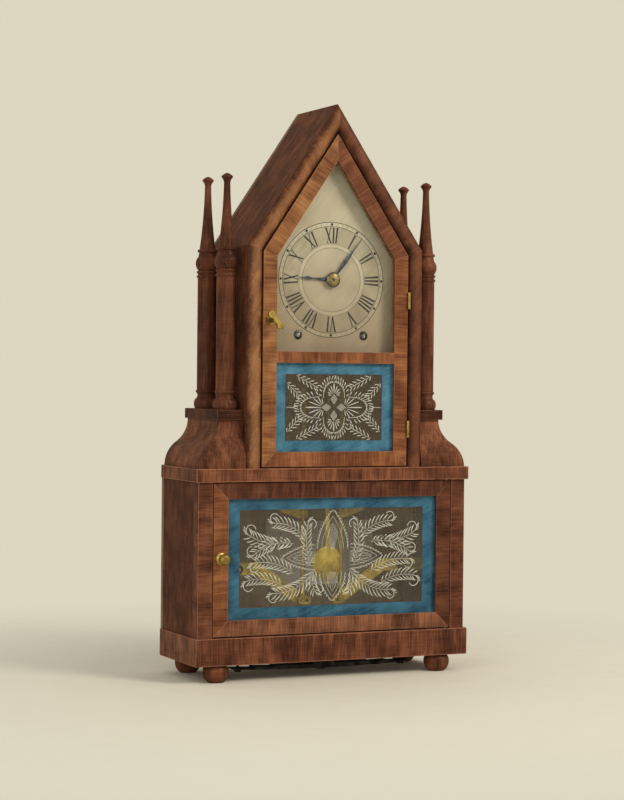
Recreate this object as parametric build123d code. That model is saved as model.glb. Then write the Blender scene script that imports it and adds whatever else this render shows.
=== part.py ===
from build123d import *
import math
import os

# Steeple clock on a lower case. Millimetres, +Z up, front towards -Y, X to the right seen from the front.
# Depths are counted backwards from the front of the cornice; heights from the floor.

# Case
CASE_DEPTH = 121.0
BODY_WIDTH = 336.0
OVERHANG = 3.5
FOOT_HEIGHT = 20.0
FOOT_RADIUS = 15.0
FOOT_FLAT_RADIUS = 9.0
FOOT_INSET = 28.0
FOOT_DEPTH = 17.0
SKIRT_HEIGHT = 31.0
BOARD = 14.0
BODY_HEIGHT = 175.0
SIDE_BOARD = 12.0
STILE_WIDTH = 17.5
CORNICE_THICK = 15.0
BACK_THICK = 7.0
BOTTOM_THICK = 10.0
CORNICE_SLOT_HALF = 31.0
CORNICE_SLOT_BEFORE = 5.5
CORNICE_SLOT_BEHIND = 10.5

# Shoulders, plinths, columns and spires
SHOULDER_HEIGHT = 54.5
SHOULDER_SETBACK = 0.5
SHOULDER_HEAD = 28.5
SHOULDER_FRONT_FOOT = 4.0
SHOULDER_FRONT_HEAD = 16.0
PLINTH_THICK = 11.5
PLINTH_LIP = 3.8
COLUMN_OFFSET = 16.0
COLUMN_FRONT = 29.5
COLUMN_REAR = 26.0
COLUMN_BASE_RADIUS = 14.3
COLUMN_BASE_HEIGHT = 11.0
COLUMN_NECK_RADIUS = 11.6
COLUMN_RING_RADIUS = 12.3
COLUMN_RING_HEIGHT = 2.6
COLUMN_RING_GROOVE = 2.6
COLUMN_BASE_NECK = 7.5
COLUMN_BASE_HOLLOW = 1.9
COLUMN_RADIUS = 11.0
COLUMN_SHAFT = 129.7
COLUMN_BULB_RADIUS = 13.5
COLUMN_BULB_HEIGHT = 15.6
COLUMN_BULB_GAP = 0.8
COLUMN_NECK = 5.0
SPIRE_COLLAR_RADIUS = 11.4
SPIRE_COLLAR_HEIGHT = 3.4
SPIRE_FOOT_RADIUS = 9.2
SPIRE_NECK_RADIUS = 3.7
SPIRE_SHAFT = 71.0
SPIRE_CAP_RADIUS = 6.4
SPIRE_FLARE = 8.0
SPIRE_CAP = 5.1
SPIRE_RIM = 1.3

# Upper case
UPPER_WIDTH = 221.0
EAVE_HEIGHT = 251.5
PEAK_HEIGHT = 416.5
MOULD_WIDTH = 18.0
MOULD_BULGE = 8.0

# Doors
DOOR_GAP = 1.3
DOOR_THICK = 14.0
DOOR_RECESS = 4.0
UPPER_FRAME = 17.0
MID_RAIL_HEIGHT = 13.0
MID_RAIL_LIFT = 119.5
LOWER_FRAME = 18.0
RABBET = 5.0
GLASS_DEPTH = 3.2
GLASS_THICK = 2.4
GLASS_PLAY = 0.3
HINGE_LENGTH = 19.0
HINGE_BARREL_RADIUS = 1.8
HINGE_PIN_RADIUS = 0.9
HINGE_LEAF = 0.5
HINGE_LEAF_DEPTH = 12.0
HINGE_HIGH = 193.0
HINGE_LOW = 44.0
PIVOT_RADIUS = 1.4
PIVOT_INSET = 4.0
PIVOT_DEPTH = 2.5
PIVOT_REACH = 9.0
RUN = 0.05

# Latches
UPPER_LATCH_LIFT = 167.5
UPPER_LATCH_REACH = 18.0
WING_LENGTH = 12.5
WING_RADIUS = 4.2
WING_THICK = 3.6
WING_ANGLE = 130.0
LATCH_ROSE_RADIUS = 5.6
LATCH_STEM_RADIUS = 2.0
TONGUE_LENGTH = 12.0
TONGUE_WIDTH = 5.0
TONGUE_THICK = 1.0
LOWER_LATCH_LIFT = 89.0
KNOB_REACH = 16.0
KNOB_RADIUS = 6.4
KNOB_NECK_RADIUS = 3.0
KNOB_ROSE_RADIUS = 7.0

# Dial and hands
DIAL_CENTRE = 215.5
DIAL_GAP = 2.0
DIAL_THICK = 1.0
DIAL_HOLE_RADIUS = 4.0
WINDING_OFFSET = 41.5
WINDING_DROP = 63.7
WINDING_HOLE_RADIUS = 5.5
WINDING_SQUARE = 4.0
MINUTE_HAND_LENGTH = 61.0
MINUTE_HAND_WIDTH = 4.6
MINUTE_HAND_ANGLE = 37.0
HOUR_HAND_LENGTH = 42.5
HOUR_HAND_WIDTH = 4.4
HOUR_HAND_ANGLE = 273.0
HAND_THICK = 0.8
HAND_EYE_RADIUS = 5.0
HOUR_HAND_GAP = 3.0
MINUTE_HAND_GAP = 1.8
NUT_RADIUS = 7.6
NUT_HEIGHT = 1.8

# Movement
PLATE_THICK = 2.0
FRONT_PLATE_GAP = 1.6
BACK_PLATE_GAP = 4.0
PLATE_HALF = 78.0
PLATE_ABOVE = 24.0
PLATE_BELOW = 106.0
PILLAR_RADIUS = 3.5
PILLAR_INSET = 7.0
ARBOR_RADIUS = 1.5
DRUM_ARBOR_RADIUS = 3.0
DRUM_RADIUS = 16.0
DRUM_FLANGE_RADIUS = 21.0
DRUM_FLANGE = 1.6
DRUM_GAP = 1.5
DRUM_WIDTH = 13.0
WHEEL_THICK = 1.6
PINION_LENGTH = 4.0
GREAT_WHEEL_GAP = 2.5
WHEEL_STEP = 5.0
GREAT_TEETH = 60
SECOND_PINION_TEETH = 12
GREAT_MODULE = 1.12
SECOND_TEETH = 54
CENTER_PINION_TEETH = 12
SECOND_MODULE = 1.2
CENTER_TEETH = 72
THIRD_PINION_TEETH = 8
CENTER_MODULE = 0.75
THIRD_TEETH = 72
ESCAPE_PINION_TEETH = 8
THIRD_MODULE = 0.62
CANNON_TEETH = 12
MINUTE_WHEEL_TEETH = 36
MINUTE_MODULE = 0.75
MINUTE_PINION_TEETH = 12
HOUR_TEETH = 48
MINUTE_WHEEL_ANGLE = 60.0
CANNON_GAP = 3.1
HOUR_WHEEL_GAP = 2.6
MOTION_THICK = 1.5
HOUR_PIPE_RADIUS = 3.0
TOOTH_SHARE = 0.36
TOOTH_TIP_SHARE = 0.2
ADDENDUM = 0.8
DEDENDUM = 1.2

# Escapement and pendulum
ESCAPE_DROP = 50.0
ESCAPE_RADIUS = 13.5
ESCAPE_TEETH = 40
ESCAPE_TOOTH_DEPTH = 2.0
ESCAPE_STEP = 2.0
ESCAPE_THICK = 1.2
VERGE_RISE = 21.0
VERGE_THICK = 1.2
PALLET_CLEAR = 1.6
PALLET_ANGLE = 46.0
STUD_RADIUS = 1.0
PENDULUM_GAP = 3.5
SUSPENSION_RISE = 7.0
PENDULUM_LENGTH = 305.0
PENDULUM_ROD_RADIUS = 1.0
PENDULUM_STRIP_WIDTH = 5.0
PENDULUM_STRIP_THICK = 1.4
PENDULUM_STRIP_DROP = 12.0
PENDULUM_EYE_RADIUS = 2.4
BOB_RADIUS = 19.3
BOB_THICK = 14.0
BOB_NUT_RADIUS = 3.2
BOB_NUT_HEIGHT = 4.0
CRUTCH_BELOW = 25.0
CRUTCH_STEP = 1.7
CRUTCH_THICK = 0.8
CRUTCH_GAP = 0.5

# Strike
GONG_LIFT = 70.0
GONG_INNER_RADIUS = 12.0
GONG_PITCH = 6.0
GONG_TURNS = 4
GONG_WIRE_RADIUS = 1.5
GONG_STAND = 8.5
GONG_BLOCK_WIDTH = 11.0
GONG_BLOCK_HEIGHT = 14.0
HAMMER_OFFSET = -12.0
HAMMER_DROP = 78.0
HAMMER_HEAD_RADIUS = 4.5
HAMMER_HEAD_LENGTH = 9.0
HAMMER_GAP = 1.0
HAMMER_ANGLE = 125.0

# Spring drive
ROD_OFFSET = 24.0
ROD_RADIUS = 2.4
ROD_STEP = 5.0
ROD_TOP = 330.0
ROD_EYE_THICK = 3.0
LEVER_PIVOT_INSET = 18.0
LEVER_HEIGHT = 124.0
LEVER_WIDTH = 14.0
LEVER_THICK = 5.0
LEVER_GAP = 1.6
LEVER_BEND_ARM = 58.0
LEVER_END_HEIGHT = 86.0
LEVER_TAIL = 4.0
LEVER_PIVOT_RADIUS = 3.0
LEVER_PIN_RADIUS = 2.0
LEVER_SWING = 12.0
SLOT_CLEAR = 0.4
BRACKET_PLATE = 4.0
BRACKET_HEIGHT = 40.0
GUIDE_DROP = 40.0
GUIDE_OFFSET = 54.0
GUIDE_WIDTH = 10.0
GUIDE_CLEAR = 0.4
CHAIN_PITCH = 7.6
CHAIN_WIDTH = 4.0
CHAIN_PLATE = 1.2
CHAIN_PIN_RADIUS = 0.9
LINK_ARM = 34.0
LINK_RADIUS = 1.75
LINK_HEAD_RADIUS = 4.0
LINK_HEAD_HEIGHT = 2.6
LINK_HEAD_GAP = 0.3
SPRING_LEAVES = 3
SPRING_LEAF = 1.6
SPRING_TIP = 8.0
SPRING_STEP = 26.0
SPRING_WIDTH = 20.0
SPRING_BOW = 2.5
SPRING_LOW = 8.0
SPRING_WINDOW = 15.0
CLAMP_HALF = 14.0
CLAMP_BOLT_RADIUS = 3.0
CLAMP_HEAD_RADIUS = 5.5
CLAMP_HEAD_HEIGHT = 2.0

# Levels and planes that follow from the sizes above
SKIRT_TOP = FOOT_HEIGHT + SKIRT_HEIGHT
BODY_TOP = SKIRT_TOP + BODY_HEIGHT
CORNICE_TOP = BODY_TOP + CORNICE_THICK
EAVE = CORNICE_TOP + EAVE_HEIGHT
PEAK = CORNICE_TOP + PEAK_HEIGHT
SHOULDER_TOP = CORNICE_TOP + SHOULDER_HEIGHT
PLINTH_TOP = SHOULDER_TOP + PLINTH_THICK
BODY_HALF = BODY_WIDTH / 2
UPPER_HALF = UPPER_WIDTH / 2
BACK_FACE = CASE_DEPTH - BACK_THICK
DIAL_Z = CORNICE_TOP + DIAL_CENTRE
SLOPE = math.atan2(PEAK_HEIGHT - EAVE_HEIGHT, UPPER_HALF)
REACH = max(UPPER_LATCH_REACH - DOOR_RECESS, KNOB_REACH - OVERHANG)
FRONT = (REACH - CASE_DEPTH) / 2
SHOULDER_FOOT = BODY_HALF - UPPER_HALF - SHOULDER_SETBACK
COLUMN_RING_LOW = COLUMN_BASE_HEIGHT + COLUMN_BASE_NECK
COLUMN_RING_HIGH = COLUMN_RING_LOW + COLUMN_RING_HEIGHT + COLUMN_SHAFT
COLUMN_RING_PAIR = 2 * COLUMN_RING_HEIGHT + COLUMN_RING_GROOVE
COLUMN_HEIGHT = COLUMN_RING_HIGH + COLUMN_RING_PAIR + COLUMN_BULB_GAP + COLUMN_BULB_HEIGHT + COLUMN_NECK
SPIRE_NECK_HEIGHT = SPIRE_COLLAR_HEIGHT + SPIRE_SHAFT
SPIRE_CAP_HEIGHT = SPIRE_NECK_HEIGHT + SPIRE_FLARE
SPIRE_HEIGHT = SPIRE_CAP_HEIGHT + SPIRE_CAP
DIAL_LOW = MID_RAIL_LIFT + MID_RAIL_HEIGHT / 2
DIAL_DEPTH = DOOR_RECESS + DOOR_THICK + DIAL_GAP
DIAL_BACK = DIAL_DEPTH + DIAL_THICK
HOUR_HAND_DEPTH = DIAL_DEPTH - HOUR_HAND_GAP
MINUTE_HAND_DEPTH = HOUR_HAND_DEPTH - MINUTE_HAND_GAP
HOUR_WHEEL_DEPTH = DIAL_BACK + HOUR_WHEEL_GAP
CANNON_DEPTH = HOUR_WHEEL_DEPTH + MOTION_THICK + CANNON_GAP
PENDULUM_DEPTH = DIAL_BACK + PENDULUM_GAP
CRUTCH_DEPTH = PENDULUM_DEPTH + CRUTCH_STEP
ESCAPE_DEPTH = CRUTCH_DEPTH + ESCAPE_STEP
FRONT_PLATE_DEPTH = ESCAPE_DEPTH + ESCAPE_THICK + FRONT_PLATE_GAP
DRUM_DEPTH = FRONT_PLATE_DEPTH + PLATE_THICK + DRUM_GAP
ROD_DEPTH = DRUM_DEPTH + ROD_STEP
GREAT_WHEEL_DEPTH = DRUM_DEPTH + DRUM_WIDTH + GREAT_WHEEL_GAP
THIRD_WHEEL_DEPTH = GREAT_WHEEL_DEPTH - WHEEL_STEP
SECOND_WHEEL_DEPTH = GREAT_WHEEL_DEPTH + WHEEL_STEP
CENTER_WHEEL_DEPTH = SECOND_WHEEL_DEPTH + WHEEL_STEP
BACK_PLATE_DEPTH = CENTER_WHEEL_DEPTH + BACK_PLATE_GAP
GONG_DEPTH = BACK_FACE - GONG_STAND
VERGE_DROP = ESCAPE_DROP - VERGE_RISE
PENDULUM_DROP = VERGE_DROP - SUSPENSION_RISE
CRUTCH_DROP = ESCAPE_DROP + CRUTCH_BELOW
LEVER_PIVOT_OFFSET = BODY_HALF - SIDE_BOARD - LEVER_PIVOT_INSET
LINK_OFFSET = LEVER_PIVOT_OFFSET - LINK_ARM
SPRING_HALF = LINK_OFFSET + SPRING_TIP
GUIDE_LIFT = BODY_TOP - GUIDE_DROP

os.makedirs("parts", exist_ok=True)


def save(name, *solids):
    """Write one node, made of one or more separate solids."""
    shape = solids[0] if len(solids) == 1 else Compound(list(solids))
    export_step(shape, f"parts/{name}.step")


def at(depth):
    return FRONT + depth


def front_plane(depth):
    """Plane facing the front at a depth: local x is X and local y is Z."""
    return Plane((0, at(depth), 0), x_dir=(1, 0, 0), z_dir=(0, -1, 0))


def slab(sketch, near, far):
    """Sketch drawn in X and Z, given body from one depth to another."""
    return extrude(front_plane(far) * sketch, amount=far - near, dir=(0, -1, 0))


def outline(*points):
    return Polygon(*points, align=None)


def block(x0, x1, near, far, z0, z1):
    centre = Pos((x0 + x1) / 2, at((near + far) / 2), (z0 + z1) / 2)
    return centre * Box(x1 - x0, far - near, z1 - z0)


def pin(x, z, radius, near, far):
    """Round bar from front to back."""
    return slab(Pos(x, z) * Circle(radius), near, far)


def post(x, depth, radius, z0, z1):
    """Upright round bar."""
    return Pos(x, at(depth), (z0 + z1) / 2) * Cylinder(radius, z1 - z0)


def bar(start, end, width):
    """Flat bar with rounded ends between two points in X and Z."""
    (x0, z0), (x1, z1) = start, end
    length = math.hypot(x1 - x0, z1 - z0)
    middle = Pos((x0 + x1) / 2, (z0 + z1) / 2)
    turn = Rot(0, 0, math.degrees(math.atan2(z1 - z0, x1 - x0)))
    return middle * turn * SlotCenterToCenter(length, width)


def polar(centre, radius, angle):
    """Point in X and Z at an angle in degrees, counted from +X towards +Z."""
    turn = math.radians(angle)
    return (centre[0] + radius * math.cos(turn), centre[1] + radius * math.sin(turn))


def mirrored(points):
    return [(-x, z) for x, z in reversed(points)]


def arc(start, end, bulge):
    """Arc whose middle stands out from its chord, to the right of the way it runs."""
    (r0, z0), (r1, z1) = start, end
    length = math.hypot(r1 - r0, z1 - z0)
    middle = ((r0 + r1) / 2 + bulge * (z1 - z0) / length, (z0 + z1) / 2 - bulge * (r1 - r0) / length)
    return ThreePointArc(start, middle, end)


def turned(edges):
    """Solid of revolution about Z from edges that run upwards in radius and height."""
    first = edges[0] @ 0
    last = edges[-1] @ 1
    closing = [
        Line((last.X, last.Y), (0, last.Y)),
        Line((0, last.Y), (0, first.Y)),
        Line((0, first.Y), (first.X, first.Y)),
    ]
    return revolve(Plane.XZ * make_face(edges + closing), Axis.Z)


def gable(inset, low):
    """Five-sided outline inside the upper case, an even inset from its sides and roof."""
    half = UPPER_HALF - inset
    eave = EAVE - inset * math.tan(math.pi / 4 - SLOPE / 2)
    peak = PEAK - inset / math.cos(SLOPE)
    return [(-half, low), (half, low), (half, eave), (0, peak), (-half, eave)]


# Feet, skirt and lower case
foot_x = BODY_HALF - FOOT_INSET
foot_profile = [
    arc((FOOT_FLAT_RADIUS, 0), (FOOT_RADIUS, FOOT_HEIGHT * 0.55), 1.6),
    arc((FOOT_RADIUS, FOOT_HEIGHT * 0.55), (FOOT_FLAT_RADIUS + 2, FOOT_HEIGHT), 1.4),
]
foot = turned(foot_profile)
feet = []
for side in (-1, 1):
    for depth in (FOOT_DEPTH, CASE_DEPTH - FOOT_DEPTH):
        feet.append(Pos(side * foot_x, at(depth), 0) * foot)
save("bun_feet", *feet)

skirt_half = BODY_HALF + OVERHANG
skirt_front = block(-skirt_half, skirt_half, 0, BOARD, FOOT_HEIGHT, SKIRT_TOP)
skirts = [skirt_front]
for side in (-1, 1):
    outer = side * skirt_half
    inner = side * (skirt_half - BOARD)
    mitre = [(outer, at(0)), (inner, at(BOARD)), (inner, at(BACK_FACE)), (outer, at(BACK_FACE))]
    skirt_side = Pos(0, 0, FOOT_HEIGHT) * extrude(outline(*mitre), amount=SKIRT_HEIGHT, dir=(0, 0, 1))
    skirts.append(skirt_side)
    skirts[0] = skirts[0] - skirt_side

bottom_low = FOOT_HEIGHT
bottom_high = bottom_low + BOTTOM_THICK
bottom_half = skirt_half - BOARD
bottom = block(-bottom_half, bottom_half, BOARD, BACK_FACE, bottom_low, bottom_high)
spring_near = ROD_DEPTH - SPRING_WIDTH / 2
spring_far = ROD_DEPTH + SPRING_WIDTH / 2
for side in (-1, 1):
    middle = side * LINK_OFFSET
    bottom -= block(
        middle - SPRING_WINDOW,
        middle + SPRING_WINDOW,
        spring_near - 3,
        spring_far + 3,
        bottom_low,
        bottom_high,
    )
bottom -= post(0, ROD_DEPTH, CLAMP_BOLT_RADIUS, bottom_low, bottom_high)
save("bottom_board", bottom)

for side, name in ((-1, "lower_left_side"), (1, "lower_right_side")):
    outer = side * BODY_HALF
    inner = side * (BODY_HALF - SIDE_BOARD)
    x0, x1 = sorted((outer, inner))
    save(name, block(x0, x1, OVERHANG + BOARD, BACK_FACE, SKIRT_TOP, BODY_TOP))

stiles = []
for side in (-1, 1):
    x0, x1 = sorted((side * BODY_HALF, side * (BODY_HALF - STILE_WIDTH)))
    stiles.append(block(x0, x1, OVERHANG, OVERHANG + BOARD, SKIRT_TOP, BODY_TOP))
save("front_stiles", *stiles)

back_low = outline(
    (-BODY_HALF, FOOT_HEIGHT),
    (BODY_HALF, FOOT_HEIGHT),
    (BODY_HALF, CORNICE_TOP),
    (-BODY_HALF, CORNICE_TOP),
)
save("back_board", slab(back_low + outline(*gable(0, CORNICE_TOP)), BACK_FACE, CASE_DEPTH))

cornice = block(-skirt_half, skirt_half, 0, BACK_FACE, BODY_TOP, CORNICE_TOP)
cornice -= block(
    -CORNICE_SLOT_HALF,
    CORNICE_SLOT_HALF,
    PENDULUM_DEPTH - CORNICE_SLOT_BEFORE,
    ROD_DEPTH + CORNICE_SLOT_BEHIND,
    BODY_TOP,
    CORNICE_TOP,
)


# Shoulders, plinths, columns and spires
def ogee(foot_reach, head_reach):
    """Edges of an S-curve from a wide foot up to a narrow head, both ends upright."""
    middle = ((foot_reach + head_reach) / 2, CORNICE_TOP + SHOULDER_HEIGHT / 2)
    low = TangentArc((foot_reach, CORNICE_TOP), middle, tangent=(0, 1))
    high = TangentArc((head_reach, SHOULDER_TOP), middle, tangent=(0, -1))
    return low, high


def shoulder_block():
    """Right shoulder: an S-curve on its outer side and another on its front, meeting in a hip."""
    low, high = ogee(UPPER_HALF + SHOULDER_FOOT, UPPER_HALF + SHOULDER_HEAD)
    side_edges = [
        low,
        high,
        Line((UPPER_HALF + SHOULDER_HEAD, SHOULDER_TOP), (UPPER_HALF, SHOULDER_TOP)),
        Line((UPPER_HALF, SHOULDER_TOP), (UPPER_HALF, CORNICE_TOP)),
        Line((UPPER_HALF, CORNICE_TOP), (UPPER_HALF + SHOULDER_FOOT, CORNICE_TOP)),
    ]
    side_shape = slab(make_face(side_edges), 0, BACK_FACE)
    low, high = ogee(-at(SHOULDER_FRONT_FOOT), -at(SHOULDER_FRONT_HEAD))
    rear = -at(BACK_FACE)
    front_edges = [
        low,
        high,
        Line((-at(SHOULDER_FRONT_HEAD), SHOULDER_TOP), (rear, SHOULDER_TOP)),
        Line((rear, SHOULDER_TOP), (rear, CORNICE_TOP)),
        Line((rear, CORNICE_TOP), (-at(SHOULDER_FRONT_FOOT), CORNICE_TOP)),
    ]
    outer_plane = Plane((UPPER_HALF + SHOULDER_FOOT, 0, 0), x_dir=(0, -1, 0), z_dir=(-1, 0, 0))
    front_shape = extrude(outer_plane * make_face(front_edges), amount=SHOULDER_FOOT)
    return side_shape & front_shape


right_shoulder = shoulder_block()
save("right_shoulder", right_shoulder)
save("left_shoulder", mirror(right_shoulder, Plane.YZ))

plinth_outer = UPPER_HALF + SHOULDER_HEAD + PLINTH_LIP
plinth_near = SHOULDER_FRONT_HEAD - PLINTH_LIP
right_plinth = block(UPPER_HALF, plinth_outer, plinth_near, BACK_FACE, SHOULDER_TOP, PLINTH_TOP)
save("shoulder_plinths", mirror(right_plinth, Plane.YZ), right_plinth)

ring_mid = COLUMN_RING_LOW + COLUMN_RING_HEIGHT
first_ring_top = COLUMN_RING_HIGH + COLUMN_RING_HEIGHT
second_ring_low = first_ring_top + COLUMN_RING_GROOVE
second_ring_top = COLUMN_RING_HIGH + COLUMN_RING_PAIR
bulb_low = second_ring_top + COLUMN_BULB_GAP
bulb_high = bulb_low + COLUMN_BULB_HEIGHT
bulb_neck = COLUMN_BULB_RADIUS - 3.0
bulb_swell = COLUMN_BULB_RADIUS - bulb_neck
ring_edge = COLUMN_RING_RADIUS - 0.7
column = turned(
    [
        arc((COLUMN_BASE_RADIUS - 1.5, 0), (COLUMN_BASE_RADIUS - 1.5, COLUMN_BASE_HEIGHT), 1.5),
        arc((COLUMN_BASE_RADIUS - 1.5, COLUMN_BASE_HEIGHT), (COLUMN_NECK_RADIUS, COLUMN_RING_LOW), -COLUMN_BASE_HOLLOW),
        arc((COLUMN_NECK_RADIUS, COLUMN_RING_LOW), (COLUMN_NECK_RADIUS, ring_mid), 0.7),
        Line((COLUMN_NECK_RADIUS, ring_mid), (COLUMN_RADIUS, ring_mid)),
        Line((COLUMN_RADIUS, ring_mid), (COLUMN_RADIUS, COLUMN_RING_HIGH)),
        Line((COLUMN_RADIUS, COLUMN_RING_HIGH), (ring_edge, COLUMN_RING_HIGH)),
        arc((ring_edge, COLUMN_RING_HIGH), (ring_edge, first_ring_top), 0.7),
        arc((ring_edge, first_ring_top), (ring_edge, second_ring_low), -0.8),
        arc((ring_edge, second_ring_low), (ring_edge, second_ring_top), 0.7),
        Line((ring_edge, second_ring_top), (bulb_neck, second_ring_top)),
        Line((bulb_neck, second_ring_top), (bulb_neck, bulb_low)),
        arc((bulb_neck, bulb_low), (bulb_neck, bulb_high), bulb_swell),
        Line((bulb_neck, bulb_high), (bulb_neck - 1.0, COLUMN_HEIGHT)),
    ]
)
spire = turned(
    [
        arc((SPIRE_COLLAR_RADIUS - 0.8, 0), (SPIRE_COLLAR_RADIUS - 0.8, SPIRE_COLLAR_HEIGHT), 0.8),
        Line((SPIRE_COLLAR_RADIUS - 0.8, SPIRE_COLLAR_HEIGHT), (SPIRE_FOOT_RADIUS, SPIRE_COLLAR_HEIGHT)),
        arc((SPIRE_FOOT_RADIUS, SPIRE_COLLAR_HEIGHT), (SPIRE_NECK_RADIUS, SPIRE_NECK_HEIGHT), -1.0),
        arc((SPIRE_NECK_RADIUS, SPIRE_NECK_HEIGHT), (SPIRE_CAP_RADIUS, SPIRE_CAP_HEIGHT), -1.0),
        arc((SPIRE_CAP_RADIUS, SPIRE_CAP_HEIGHT), (SPIRE_CAP_RADIUS, SPIRE_CAP_HEIGHT + SPIRE_RIM), 0.3),
        arc((SPIRE_CAP_RADIUS, SPIRE_CAP_HEIGHT + SPIRE_RIM), (0.4, SPIRE_HEIGHT), 0.6),
    ]
)
for side, side_name in ((-1, "left"), (1, "right")):
    for depth, row_name in ((COLUMN_FRONT, "front"), (BACK_FACE - COLUMN_REAR, "rear")):
        place = Pos(side * (UPPER_HALF + COLUMN_OFFSET), at(depth), PLINTH_TOP)
        save(f"{row_name}_{side_name}_column", place * column, place * Pos(0, 0, COLUMN_HEIGHT) * spire)

# Upper case: sides, roof and half-round mouldings
outer_gable = gable(0, CORNICE_TOP)
inner_gable = gable(MOULD_WIDTH, CORNICE_TOP)
right_side_quad = [inner_gable[1], outer_gable[1], outer_gable[2], inner_gable[2]]
right_roof_quad = [inner_gable[2], outer_gable[2], outer_gable[3], inner_gable[3]]
right_side = slab(outline(*right_side_quad), MOULD_BULGE, BACK_FACE)
left_side = mirror(right_side, Plane.YZ)
upper_latch_x = -(UPPER_HALF - MOULD_WIDTH - DOOR_GAP - UPPER_FRAME / 2)
upper_latch_z = CORNICE_TOP + UPPER_LATCH_LIFT
door_back = DOOR_RECESS + DOOR_THICK
tongue_reach = TONGUE_LENGTH + TONGUE_WIDTH / 2
mortise = block(
    upper_latch_x - tongue_reach - 1.5,
    upper_latch_x,
    door_back,
    door_back + TONGUE_THICK + 2.0,
    upper_latch_z - tongue_reach,
    upper_latch_z + tongue_reach,
)
save("upper_right_side", right_side)
save("upper_left_side", left_side - mortise)
right_roof = slab(outline(*right_roof_quad), MOULD_BULGE, BACK_FACE)
save("right_roof", right_roof)
save("left_roof", mirror(right_roof, Plane.YZ))


def half_round(start, end, length):
    """Half-round strip that runs from one point past another, its flat back on the case front."""
    (x0, z0), (x1, z1) = start, end
    along = Vector(x1 - x0, 0, z1 - z0).normalized()
    base = Vector(x0, at(MOULD_BULGE), z0) - along * MOULD_WIDTH
    across = Vector(0, 1, 0).cross(along)
    plane = Plane(base, x_dir=across, z_dir=along)
    section = make_face(
        [
            ThreePointArc((0, 0), (MOULD_WIDTH / 2, -MOULD_BULGE), (MOULD_WIDTH, 0)),
            Line((MOULD_WIDTH, 0), (0, 0)),
        ]
    )
    return extrude(plane * section, amount=length + 2 * MOULD_WIDTH)


def mitred_strip(start, end, quad):
    """Half-round strip along the inner edge of a mitred outline, cut to that outline."""
    length = math.hypot(end[0] - start[0], end[1] - start[1]) * 1.4
    return half_round(start, end, length) & slab(outline(*quad), 0, MOULD_BULGE)


right_stile_strip = mitred_strip(inner_gable[1], inner_gable[2], right_side_quad)
right_rake_strip = mitred_strip(inner_gable[2], inner_gable[3], right_roof_quad)
save("stile_mouldings", mirror(right_stile_strip, Plane.YZ), right_stile_strip)
save("rake_mouldings", mirror(right_rake_strip, Plane.YZ), right_rake_strip)

# Upper door
upper_low = CORNICE_TOP + DOOR_GAP
door_outer = gable(MOULD_WIDTH + DOOR_GAP, upper_low)
door_inner = gable(MOULD_WIDTH + DOOR_GAP + UPPER_FRAME, upper_low + UPPER_FRAME)
rabbet_outer = gable(MOULD_WIDTH + DOOR_GAP + UPPER_FRAME - RABBET, upper_low + UPPER_FRAME - RABBET)
mid_low = CORNICE_TOP + MID_RAIL_LIFT
mid_high = mid_low + MID_RAIL_HEIGHT
sight_half = door_inner[1][0]
rabbet_half = sight_half + RABBET
glass_near = DOOR_RECESS + GLASS_DEPTH
rabbet_floor = slab(outline(*rabbet_outer), glass_near, door_back)

members = []
for first, second in ((0, 1), (1, 2), (2, 3), (3, 4), (4, 0)):
    quad = [door_outer[first], door_outer[second], door_inner[second], door_inner[first]]
    members.append(slab(outline(*quad), DOOR_RECESS, door_back) - rabbet_floor)
mid_rail_front = block(-sight_half, sight_half, DOOR_RECESS, glass_near, mid_low, mid_high)
mid_rail_back = block(-rabbet_half, rabbet_half, glass_near, door_back, mid_low + RABBET, mid_high - RABBET)
members.append(mid_rail_front + mid_rail_back)
upper_latch_hole = pin(upper_latch_x, upper_latch_z, LATCH_STEM_RADIUS + RUN, DOOR_RECESS, door_back)
members[4] = members[4] - upper_latch_hole
save("upper_door_frame", *members)

glass_far = glass_near + GLASS_THICK
pane_half = rabbet_half - GLASS_PLAY
pane_inset = MOULD_WIDTH + DOOR_GAP + UPPER_FRAME - RABBET + GLASS_PLAY
dial_pane = gable(pane_inset, mid_high - RABBET + GLASS_PLAY)
save("dial_glass", slab(outline(*dial_pane), glass_near, glass_far))
tablet_low = upper_low + UPPER_FRAME - RABBET + GLASS_PLAY
tablet_high = mid_low + RABBET - GLASS_PLAY
save("upper_tablet", block(-pane_half, pane_half, glass_near, glass_far, tablet_low, tablet_high))

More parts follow.
